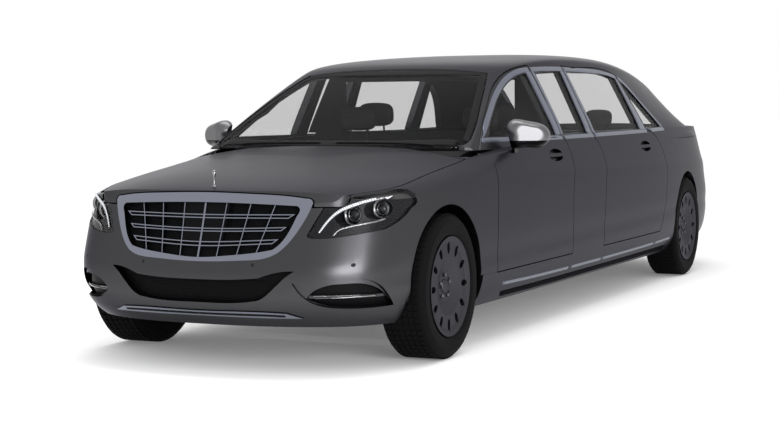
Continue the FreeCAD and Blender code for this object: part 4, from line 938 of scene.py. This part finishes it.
# %% Light guide and bright line
lens_skin = skin_tree("headlamp_lenses")
lens_gap = 0.0075
brow_upper = ((0.569, 0.658), (0.593, 0.703), (0.628, 0.747), (0.665, 0.773), (0.720, 0.795),
              (0.779, 0.812), (0.812, 0.822))
brow_lower = ((0.578, 0.654), (0.613, 0.707), (0.649, 0.742), (0.693, 0.764), (0.750, 0.786),
              (0.79, 0.797), (0.815, 0.805))
eyebrow_line = ((0.632, 0.640), (0.650, 0.664), (0.679, 0.677), (0.730, 0.689), (0.785, 0.700),
                (0.815, 0.712))
segment_count, segment_steps = 34, 4
guide_lift, block_lift, line_half = 0.001, 0.002, 0.0035
guide_gap = lens_gap + 0.001


def light_segments():
    """Row of small white blocks along the brow, in front of the light guide."""
    upper = smooth_path(brow_upper, segment_count * segment_steps + 1)
    lower = smooth_path(brow_lower, segment_count * segment_steps + 1)
    blocks = []
    for k in range(0, segment_count * segment_steps, segment_steps):
        first, last = upper[k:k + segment_steps], lower[k:k + segment_steps]
        first = [a.lerp(b, 0.12) for a, b in zip(first, last)]
        last = [b.lerp(a, 0.25) for a, b in zip(first, last)]
        grid = patch_grid(first, last, 3, 3)
        blocks.append(raised("block", grid, lens_skin, "front", block_lift, lamp_white, inset=lens_gap))
    return merged("light_blocks_left", blocks)


def lamp_strips():
    """Light guide, light blocks and bright line of both lamps."""
    guide = raised("light_guide_left", patch_grid(brow_upper, brow_lower, 5, 60), lens_skin, "front",
                   guide_lift, lens_smoke, inset=guide_gap)
    made = [guide, pair(guide, "body", "body")]
    blocks = light_segments()
    made += [blocks, pair(blocks, "body", "body")]
    line = raised("lamp_line_left", strip_grid(eyebrow_line, line_half, 50), lens_skin, "front",
                  block_lift, mirror_chrome, inset=lens_gap)
    made += [line, pair(line, "body", "body")]
    return made


print("lamp strips", len(lamp_strips()))

# %% Lamp bowls
lamp_skin = skin_tree("headlamps")
bowl_places = ((0.675, 0.729, 0.044), (0.776, 0.753, 0.038))
bezel_loop = ((0.0, 0.62), (0.012, 0.6), (0.016, 0.68), (0.012, 0.78), (0.0, 0.8))
projector_loop = ((0.0, 0.0), (0.0, 0.6), (0.006, 0.58), (0.013, 0.42), (0.017, 0.2), (0.018, 0.0))
dish_loop = ((0.0, 0.86), (0.032, 1.08), (0.034, 1.06), (0.003, 0.82))
bowl_gap = 0.004


def lamp_bowl(name, y, z, radius):
    """Projector lens with its bright bezel and dish, facing forward, at a place on the housing."""
    parts = []
    for kind, loop, count, material in (("bezel", bezel_loop, 48, mirror_chrome),
                                        ("lens", projector_loop, 48, lens_smoke),
                                        ("dish", dish_loop, 64, mirror_chrome)):
        parts.append(turned(kind, [(out, radius * share) for out, share in loop], count, material))
    piece = merged(name, parts)
    back = lamp_skin.ray_cast(Vector((5, y, z)), Vector((-1, 0, 0)))[0].x
    turn = Matrix.Translation((back + bowl_gap, y, z)) @ Matrix.Rotation(-math.pi / 2, 4, "Z")
    piece.data.transform(turn)
    return piece


def right_bowl(bowl):
    """Mirror image of a left bowl, which keeps its two finishes."""
    twin = bowl.copy()
    twin.data = bowl.data.copy()
    twin.name = bowl.name.replace("left", "right")
    twin.data.transform(Matrix.Scale(-1, 4, (0, 1, 0)))
    twin.data.flip_normals()
    scene.collection.objects.link(twin)
    return twin


def lamp_bowls():
    """Two bowls in each lamp."""
    made = []
    for k, (y, z, radius) in enumerate(bowl_places):
        bowl = lamp_bowl("lamp_bowl_%d_left" % (k + 1), y, z, radius)
        made += [bowl, right_bowl(bowl)]
    for piece in made:
        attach(piece, "body")
    return made


print("lamp bowls", len(lamp_bowls()))

# %% [markdown]
# ## Grille and intake mesh
# Fine black slats stand behind the grille bars and fill the wide intake below them. Each slat is
# a thin strip on the backing, at even heights, from edge to edge of its opening. In the grille
# they stop at the smooth centre panel. Every slat has its own length and bends with the backing,
# so each is laid on it by rays, and not repeated from one slat.

# %% Grille and intake slats
backing_skin = skin_tree("grille_mesh")
grille_edge = ((0.787, 0.455), (0.774, 0.462), (0.766, 0.468), (0.729, 0.463), (0.667, 0.440),
               (0.609, 0.406), (0.577, 0.370), (0.563, 0.292), (0.549, 0.17), (0.545, 0.10))
intake_edge = ((0.440, 0.20), (0.448, 0.30), (0.464, 0.36), (0.475, 0.40), (0.470, 0.465),
               (0.462, 0.452), (0.425, 0.412), (0.385, 0.370), (0.360, 0.340), (0.343, 0.290),
               (0.334, 0.20))
centre_half, slat_end, slat_lift = 0.128, 0.004, 0.003


def edge_at(edge, z):
    """Half width of an opening at a height."""
    for (z1, y1), (z2, y2) in zip(edge, edge[1:]):
        if min(z1, z2) <= z <= max(z1, z2) and z1 != z2:
            return y1 + (y2 - y1) * (z - z1) / (z2 - z1)
    return None


def slats(name, edge, low, high, pitch, half_width, inner=0.0):
    """Thin strips across an opening at even heights, broken at a centre panel if there is one."""
    pieces = []
    for k in range(int((high - low) / pitch) + 1):
        z = low + k * pitch
        half = edge_at(edge, z)
        if half is None:
            continue
        out = half - slat_end
        for a, b in ((inner, out), (-out, -inner)) if inner else ((-out, out),):
            grid = strip_grid(((a, z), ((a + b) / 2, z), (b, z)), half_width, 24)
            pieces.append(raised("slat", grid, backing_skin, "front", slat_lift, finishes["black_plastic"]))
    whole = merged(name, pieces)
    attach(whole, "body")
    return whole


grille_slats = slats("grille_slats", grille_edge, low=0.556, high=0.780, pitch=0.0085,
                     half_width=0.0017, inner=centre_half)
intake_slats = slats("intake_slats", intake_edge, low=0.344, high=0.468, pitch=0.010,
                     half_width=0.0020)
print("slat faces", len(grille_slats.data.polygons) + len(intake_slats.data.polygons))

# %% [markdown]
# ## Bumper trim
# Bright blades cross the side intakes, a black groove runs along the lip, and small round parking
# sensors sit in the cover. The blades and the groove are strips, the sensors small domed discs.

# %% Bumper trim
cover_skin = skin_tree("front_bumper")
bumper_skin = skin_tree("front_bumper", "grille")
blade_runs = (((0.552, 0.369), (0.68, 0.371), (0.806, 0.374)),
              ((0.56, 0.356), (0.68, 0.36), (0.788, 0.364)))
blade_half, blade_lift = 0.0032, 0.0045
lip_groove = ((0.0, 0.2755), (0.30, 0.2765), (0.43, 0.2735))
groove_half, groove_lift = 0.0055, 0.0012
sensor_places = ((0.294, 0.509), (0.726, 0.509))
sensor_profile = ((0.0, 1.0), (0.55, 0.9), (0.85, 0.6), (1.0, 0.0))
sensor_radius, sensor_rise, sensor_sink, sensor_back = 0.009, 0.0018, 0.0003, 0.002


def sensor_disc(name, y, z):
    """Domed disc on the bumper's skin, closed at its back."""
    angles = [math.pi * k / 12 for k in range(24)]
    count = len(angles)
    points, faces = [], []
    for share, rise in sensor_profile:
        reach = sensor_radius * share
        for angle in angles:
            place, normal = landing(bumper_skin, "front", y + reach * math.cos(angle),
                                    z + reach * math.sin(angle))
            points.append(place + normal * (sensor_rise * rise - sensor_sink))
    points += [point - Vector((sensor_back, 0, 0)) for point in points[-count:]]
    for k in range(len(sensor_profile)):
        faces += band(k * count, (k + 1) * count, count)
    base = len(sensor_profile) * count
    faces.append([base + j for j in range(count)])
    return new_piece(name, points, faces, finishes["body_structure"])


def blades():
    """Two bright blades across each side intake."""
    made = []
    for k, run in enumerate(blade_runs):
        blade = raised("intake_blade_%d_left" % (k + 1), strip_grid(run, blade_half, 50), cover_skin,
                       "front", blade_lift, mirror_chrome)
        made += [blade, pair(blade, "body", "body")]
    return made


def groove_and_sensors():
    """Black groove along the lip, and the parking sensors."""
    groove = raised("lip_groove_left", strip_grid(lip_groove, groove_half, 60), bumper_skin, "front",
                    groove_lift, finishes["black_plastic"])
    made = [groove, pair(groove, "body", "body")]
    for k, (y, z) in enumerate(sensor_places):
        disc = sensor_disc("parking_sensor_%d_left" % (k + 1), y, z)
        made += [disc, pair(disc, "body", "body")]
    return made


print("blades", len(blades()), "groove and sensors", len(groove_and_sensors()))

# %% [markdown]
# ## Seats
# Every seat has a padded cushion, back and headrest. One of each is made: a rounded box is
# remeshed to even faces and blown up with cloth pressure, which gives it a fullness that a
# bevelled box lacks. How far a point moves is capped, so that the pad stays inside the CAD seat.
# Sewn channels are pressed in after that, and the pads are then copied to the six seats.

# %% Padded forms
pad_pressure, pad_steps, seam_facing = 4.0, 20, 0.35


def rounded_form(name, size, power=5.0):
    """Closed block with full, rounded sides: a fine cube whose points lie on a superellipsoid."""
    work = bmesh.new()
    bmesh.ops.create_cube(work, size=2.0)
    bmesh.ops.subdivide_edges(work, edges=work.edges, cuts=9, use_grid_fill=True)
    for vertex in work.verts:
        way = vertex.co
        reach = sum(abs(c) ** power for c in way) ** (1 / power)
        way = way / reach
        vertex.co = Vector([way[k] * size[k] / 2 for k in range(3)])
    mesh = bpy.data.meshes.new(name)
    work.to_mesh(mesh)
    work.free()
    piece = bpy.data.objects.new(name, mesh)
    scene.collection.objects.link(piece)
    mesh.materials.append(finishes["seat_leather"])
    return piece


def baked(piece):
    """Replace a piece's mesh with its evaluated one, and drop its modifiers."""
    graph = bpy.context.evaluated_depsgraph_get()
    mesh = bpy.data.meshes.new_from_object(piece.evaluated_get(graph))
    piece.modifiers.clear()
    piece.data = mesh


def blown_up(piece, voxel, cap):
    """Remesh a block, swell it with cloth pressure and cap how far it moves."""
    change = piece.modifiers.new("remesh", "REMESH")
    change.mode = "VOXEL"
    change.voxel_size = voxel
    bpy.context.view_layer.update()
    baked(piece)
    rest = [vertex.co.copy() for vertex in piece.data.vertices]
    cloth = piece.modifiers.new("cloth", "CLOTH")
    cloth.settings.use_pressure = True
    cloth.settings.uniform_pressure_force = pad_pressure
    cloth.settings.effector_weights.gravity = 0.0
    for step in range(1, pad_steps + 1):
        scene.frame_set(step)
    baked(piece)
    scene.frame_set(1)
    for vertex, start in zip(piece.data.vertices, rest):
        move = vertex.co - start
        if move.length > cap:
            vertex.co = start + move * (cap / move.length)
    smooth = piece.modifiers.new("smooth", "SUBSURF")
    smooth.levels = smooth.render_levels = 1
    bpy.context.view_layer.update()
    baked(piece)


def sewn(piece, places, axis, face, depth, width):
    """Press sewn channels into a pad at places along an axis, on the face (axis, sign)."""
    side, way = face
    normals = [vertex.normal.copy() for vertex in piece.data.vertices]
    for vertex, normal in zip(piece.data.vertices, normals):
        if normal[side] * way < seam_facing:
            continue
        near = min(abs(vertex.co[axis] - place) for place in places)
        vertex.co -= normal * depth * math.exp(-(near / width) ** 2)
    for polygon in piece.data.polygons:
        polygon.use_smooth = True


seat_wide, seat_deep, seat_thick = 0.54, 0.52, 0.15
back_thick, back_tall = 0.13, 0.60
rest_thick, rest_wide, rest_tall = 0.075, 0.235, 0.19
edge_room, swell_room = 0.05, 0.045
print("cushion", seat_wide, seat_deep, seat_thick)

# %% Padded patterns
def make_patterns():
    """The three padded forms that all seats share, about their own middles."""
    cushion = rounded_form("cushion_pattern", (seat_deep - edge_room, seat_wide - edge_room,
                                               seat_thick - swell_room))
    back = rounded_form("back_pattern", (back_thick - swell_room, seat_wide - edge_room,
                                         back_tall - edge_room))
    rest = rounded_form("rest_pattern", (rest_thick, rest_wide, rest_tall - swell_room), power=3.5)
    blown_up(cushion, voxel=0.016, cap=0.022)
    blown_up(back, voxel=0.016, cap=0.022)
    blown_up(rest, voxel=0.012, cap=0.014)
    flutes = [seat_wide * share for share in (-0.27, -0.135, 0.0, 0.135, 0.27)]
    sewn(cushion, flutes, axis=1, face=(2, 1), depth=0.007, width=0.006)
    sewn(back, flutes, axis=1, face=(0, 1), depth=0.007, width=0.006)
    sewn(back, [0.14], axis=2, face=(0, 1), depth=0.005, width=0.006)
    sewn(rest, [0.0], axis=2, face=(0, 1), depth=0.004, width=0.005)
    return {"cushion": cushion, "back": back, "rest": rest}


patterns = make_patterns()
print({name: len(piece.data.polygons) for name, piece in patterns.items()})

# %% [markdown]
# ## Seats in place
# Each seat has its X, Y, width, facing (1 ahead, -1 back), lean of the back in degrees, and the CAD
# node that it stands for. The back and the headrest turn about the foot of the back. A plinth and
# a rear shell are blocks with bevelled edges, and two thin posts carry the headrest, so that no
# pad hangs in the air.

# %% Seats in place
seat_places = {"front_left": (1.12, 0.40, 0.54, 1, 14, "front_seats"),
               "front_right": (1.12, -0.40, 0.54, 1, 14, "front_seats"),
               "facing_left": (0.10, 0.40, 0.54, -1, 6, "rear_seats"),
               "facing_right": (0.10, -0.40, 0.54, -1, 6, "rear_seats"),
               "rear_left": (-1.53, 0.243, 0.48, 1, 20, "rear_seats"),
               "rear_right": (-1.53, -0.243, 0.48, 1, 20, "rear_seats")}
seat_low, seat_round = 0.40, 0.045
plinth_inset, plinth_narrow, shell_thick = 0.14, 0.10, 0.02
post_radius, post_tall, post_half_gap = 0.006, 0.14, 0.055
bevel_angle, bevel_shortest, bevel_width = 1.2, 0.018, 0.006
floor_skin = skin_tree("floor_pan")
pad_middles = {"cushion": (0.01, 0, seat_thick / 2),
               "back": (-back_thick / 2 + 0.004, 0, back_tall / 2),
               "rest": (-back_thick * 0.4, 0, back_tall + 0.115)}


def cad_floor(x):
    """Height of the cabin floor beside the tunnel at an X."""
    return floor_skin.ray_cast(Vector((x, 0.45, 0.9)), Vector((0, 0, -1)))[0].z + 0.002


def facing_turn(facing):
    """Half turn about Z for a seat that faces back."""
    return Matrix.Rotation(0 if facing > 0 else math.pi, 4, "Z")


def back_turn(turn, height):
    """Lean of a seat's back about its foot, at a height."""
    foot = Matrix.Translation((-seat_deep / 2 + seat_round, 0, height))
    return foot @ Matrix.Rotation(-turn, 4, "Y")


def seat_pad(kind, name, place, wide, facing, turn):
    """Copy of a pattern, turned with the seat's back and set down in its place."""
    piece = bpy.data.objects.new("seat_" + kind + "_" + name, patterns[kind].data.copy())
    scene.collection.objects.link(piece)
    lean = Matrix.Identity(4) if kind == "cushion" else back_turn(turn, seat_thick / 2)
    narrow = Matrix.Diagonal((1, wide / seat_wide, 1, 1))
    stand = Matrix.Translation((place[0], place[1], seat_low)) @ facing_turn(facing)
    piece.data.transform(stand @ lean @ Matrix.Translation(pad_middles[kind]) @ narrow)
    return piece


def add_block(work, matrix):
    """Unit cube set in place by a matrix."""
    block = bmesh.ops.create_cube(work, size=1.0)["verts"]
    bmesh.ops.transform(work, matrix=matrix, verts=block)


def add_post(work, matrix):
    """Headrest post, set in place by a matrix."""
    post = bmesh.ops.create_cone(work, cap_ends=True, segments=12, radius1=post_radius,
                                 radius2=post_radius, depth=post_tall)["verts"]
    bmesh.ops.transform(work, matrix=matrix, verts=post)


def bevel_corners(work):
    """Bevel the long sharp edges; the short ones round the ends of a post stay."""
    sharp = [edge for edge in work.edges if len(edge.link_faces) == 2
             and edge.calc_face_angle() > bevel_angle and edge.calc_length() > bevel_shortest]
    bmesh.ops.bevel(work, geom=sharp, offset=bevel_width, segments=2, affect="EDGES")


def seat_frame(name, place, wide, facing, turn):
    """Plinth, rear shell and headrest posts of one seat."""
    work = bmesh.new()
    stand = Matrix.Translation((place[0], place[1], 0)) @ facing_turn(facing)
    floor = cad_floor(place[0])
    add_block(work, stand @ Matrix.Translation((0.02, 0, (floor + seat_low) / 2 + 0.02))
              @ Matrix.Diagonal((seat_deep - plinth_inset, wide - plinth_narrow,
                                 seat_low - floor + 0.03, 1)))
    lean = back_turn(turn, seat_low + seat_thick / 2)
    for y in (-post_half_gap, post_half_gap):
        add_post(work, stand @ lean @ Matrix.Translation((-back_thick / 2, y, back_tall + 0.01)))
    add_block(work, stand @ lean @ Matrix.Translation((-back_thick + 0.012, 0, back_tall / 2))
              @ Matrix.Diagonal((shell_thick, wide - 0.06, back_tall - 0.08, 1)))
    bevel_corners(work)
    mesh = bpy.data.meshes.new("seat_frame_" + name)
    work.to_mesh(mesh)
    work.free()
    mesh.materials.append(finishes["trim_dark"])
    piece = bpy.data.objects.new("seat_frame_" + name, mesh)
    scene.collection.objects.link(piece)
    return piece


def make_seats():
    """Frames and pads of the six seats."""
    made = []
    for name, (x, y, wide, facing, degrees, node) in seat_places.items():
        turn = math.radians(degrees)
        pads = [seat_pad(kind, name, (x, y), wide, facing, turn) for kind in patterns]
        for pad in pads:
            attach(pad, "body")
            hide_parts(node)
        stand = seat_frame(name, (x, y), wide, facing, turn)
        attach(stand, "body")
        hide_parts(node)
        made += [*pads, stand]
    for pattern in patterns.values():
        bpy.data.objects.remove(pattern)
    return made


print("seat pieces", len(make_seats()))

# %% [markdown]
# ## Cabin linings
# The insides of the doors carry a soft lining, and the floor has carpets. They are patches on the
# CAD panels, seen through the glass and when a door stands open. Rays for a lining start at the
# middle of the cabin, and rays for a carpet start below the roof.

# %% Cabin linings
door_linings = {"front_door": (((1.70, 0.40), (1.70, 0.70), (1.66, 0.95)),
                               ((0.70, 0.40), (0.70, 0.70), (0.70, 0.95))),
                "rear_door": (((-0.02, 0.40), (-0.02, 0.70), (0.0, 0.95)),
                              ((-1.0, 0.72), (-1.0, 0.85), (-1.0, 0.95)))}
carpets = {"front": (((1.75, 0.60), (1.72, 0.40), (1.72, 0.16)),
                     ((1.42, 0.60), (1.42, 0.40), (1.42, 0.16))),
           "rear": (((-0.35, 0.60), (-0.35, 0.40), (-0.35, 0.16)),
                    ((-1.20, 0.60), (-1.20, 0.40), (-1.20, 0.16)))}
lining_lift, carpet_lift = 0.004, 0.008


def cabin_linings():
    """Door linings and carpets on both sides."""
    made = []
    for place, (first, last) in door_linings.items():
        piece = raised("door_lining_" + place + "_left", patch_grid(first, last, 24, 16),
                       door_skins[place], "inside", lining_lift, finishes["trim_dark"])
        made += [piece, pair(piece, *door_bodies[place])]
    for place, (first, last) in carpets.items():
        piece = raised("carpet_" + place + "_left", patch_grid(first, last, 16, 16), floor_skin,
                       "cabin", carpet_lift, carpet)
        made += [piece, pair(piece, "body", "body")]
    return made


print("linings", len(cabin_linings()))

# %% [markdown]
# ## Tail trim
# The back isn't seen in the photograph, so it gets what such a car has: a bright bar over a blank
# plate on the lid, red reflectors and a black valance on the bumper, and a thin bright band in
# each tail lamp. All of them are strips and patches on the skin.

# %% Tail trim
lid_skin = skin_tree("trunk_lid")
tail_skin = skin_tree("rear_bumper")
tail_lamp_skin = skin_tree("tail_lamps")
lid_bar_run = ((-0.42, 0.862), (0.0, 0.866), (0.42, 0.862))
tail_band_run = ((0.63, 0.752), (0.70, 0.752), (0.80, 0.752))
bar_half, bar_lift, rim_lift, plate_lift = 0.009, 0.005, 0.0015, 0.004
valance_lift, reflector_lift, tail_band_half, tail_band_lift = 0.004, 0.003, 0.0035, 0.003


def level_patch(half_width, low, high, middle=0.0):
    """Edges of a level patch in the back view."""
    near, far = middle - half_width, middle + half_width
    return ((near, low), (near, high)), ((far, low), (far, high))


def lid_trim():
    """Bright bar and blank plate on the lid, which open with it."""
    black = finishes["black_plastic"]
    rim = level_patch(half_width=0.28, low=0.725, high=0.848)
    field = level_patch(half_width=0.26, low=0.735, high=0.838)
    bar = raised("lid_bar", strip_grid(lid_bar_run, bar_half, 60), lid_skin, "back", bar_lift,
                 finishes["bright_trim"])
    surround = raised("plate_surround", patch_grid(*rim, 40, 12), lid_skin, "back", rim_lift, black)
    plate = raised("blank_plate", patch_grid(*field, 40, 12), lid_skin, "back", plate_lift,
                   plate_white)
    for piece in (bar, surround, plate):
        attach(piece, "trunk_lid_body")
    return [bar, surround, plate]


def bumper_tail():
    """Valance and reflectors on the bumper, and a bright band in each tail lamp."""
    foot = level_patch(half_width=0.50, low=0.245, high=0.34)
    corner = level_patch(half_width=0.085, low=0.395, high=0.42, middle=0.62)
    valance = raised("valance", patch_grid(*foot, 60, 10), tail_skin, "back", valance_lift,
                     finishes["black_plastic"])
    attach(valance, "body")
    reflector = raised("reflector_left", patch_grid(*corner, 24, 6), tail_skin, "back",
                       reflector_lift, finishes["lamp_red"])
    tail_band = raised("tail_band_left", strip_grid(tail_band_run, tail_band_half, 24),
                       tail_lamp_skin, "back", tail_band_lift, mirror_chrome)
    made = []
    for piece in (reflector, tail_band):
        made += [piece, pair(piece, "body", "body")]
    return [valance, *made]


print("lid trim", len(lid_trim()), "bumper and lamp trim", len(bumper_tail()))

# %% [markdown]
# ## Hood finial
# A small plain drop stands on the nose of the hood. It is turned from a profile about an upright
# axis, its foot sunk into the skin, and it opens with the hood.

# %% Hood finial
finial_loop = ((0.0, -0.004), (0.011, -0.004), (0.011, 0.001), (0.006, 0.004), (0.0035, 0.012),
               (0.003, 0.03), (0.0045, 0.042), (0.008, 0.052), (0.0095, 0.06), (0.0085, 0.068),
               (0.005, 0.075), (0.0, 0.078))


def make_finial(x):
    """Drop on a stem, on the hood's skin at an X."""
    foot = skin_tree("hood").ray_cast(Vector((x, 0, 2)), Vector((0, 0, -1)))[0]
    piece = turned("hood_finial", [(z, r) for r, z in finial_loop], 32, mirror_chrome)
    piece.data.transform(Matrix.Translation(foot) @ Matrix.Rotation(math.pi / 2, 4, "X"))
    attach(piece, "hood_body")
    return foot


print("finial foot", [round(v, 3) for v in make_finial(3.06)])

# %% [markdown]
# ## Windscreen furniture
# Two wipers rest at the foot of the windscreen, and black bands run along its foot, its head and
# its sides, where the real glass is printed. All of them are strips that follow the glass.

# %% Windscreen furniture
screen_skin = skin_tree("windshield")
wiper_runs = (((1.83, 0.60), (1.838, 0.30), (1.842, 0.02)),
              ((1.842, -0.06), (1.838, -0.30), (1.825, -0.56)))
wiper_half, wiper_lift, band_lift = 0.006, 0.008, 0.0012
screen_bands = {
    "screen_foot": (((1.80, 0.70), (1.855, 0.40), (1.872, 0.0), (1.855, -0.40), (1.80, -0.70)),
                    ((1.74, 0.70), (1.80, 0.40), (1.815, 0.0), (1.80, -0.40), (1.74, -0.70))),
    "screen_head": (((1.03, 0.62), (1.055, 0.40), (1.065, 0.0), (1.055, -0.40), (1.03, -0.62)),
                    ((0.99, 0.62), (0.985, 0.40), (0.985, 0.0), (0.985, -0.40), (0.99, -0.62))),
    "screen_side_left": (((1.02, 0.575), (1.124, 0.609), (1.222, 0.632), (1.413, 0.683),
                          (1.616, 0.739), (1.74, 0.753)),
                         ((1.02, 0.53), (1.124, 0.562), (1.222, 0.586), (1.413, 0.637),
                          (1.616, 0.692), (1.74, 0.712)))}


def screen_furniture():
    """Wipers and the black bands of the windscreen."""
    black = finishes["black_plastic"]
    made = []
    for k, run in enumerate(wiper_runs):
        made.append(raised("wiper_%d" % (k + 1), strip_grid(run, wiper_half, 40), screen_skin, "sky",
                           wiper_lift, black))
    for name, edges in screen_bands.items():
        made.append(raised(name, patch_grid(*edges, 6, 60), screen_skin, "sky", band_lift, black))
    made.append(pair(made[-1], "body", "body"))
    for piece in made:
        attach(piece, "body")
    return made


print("windscreen pieces", len(screen_furniture()))
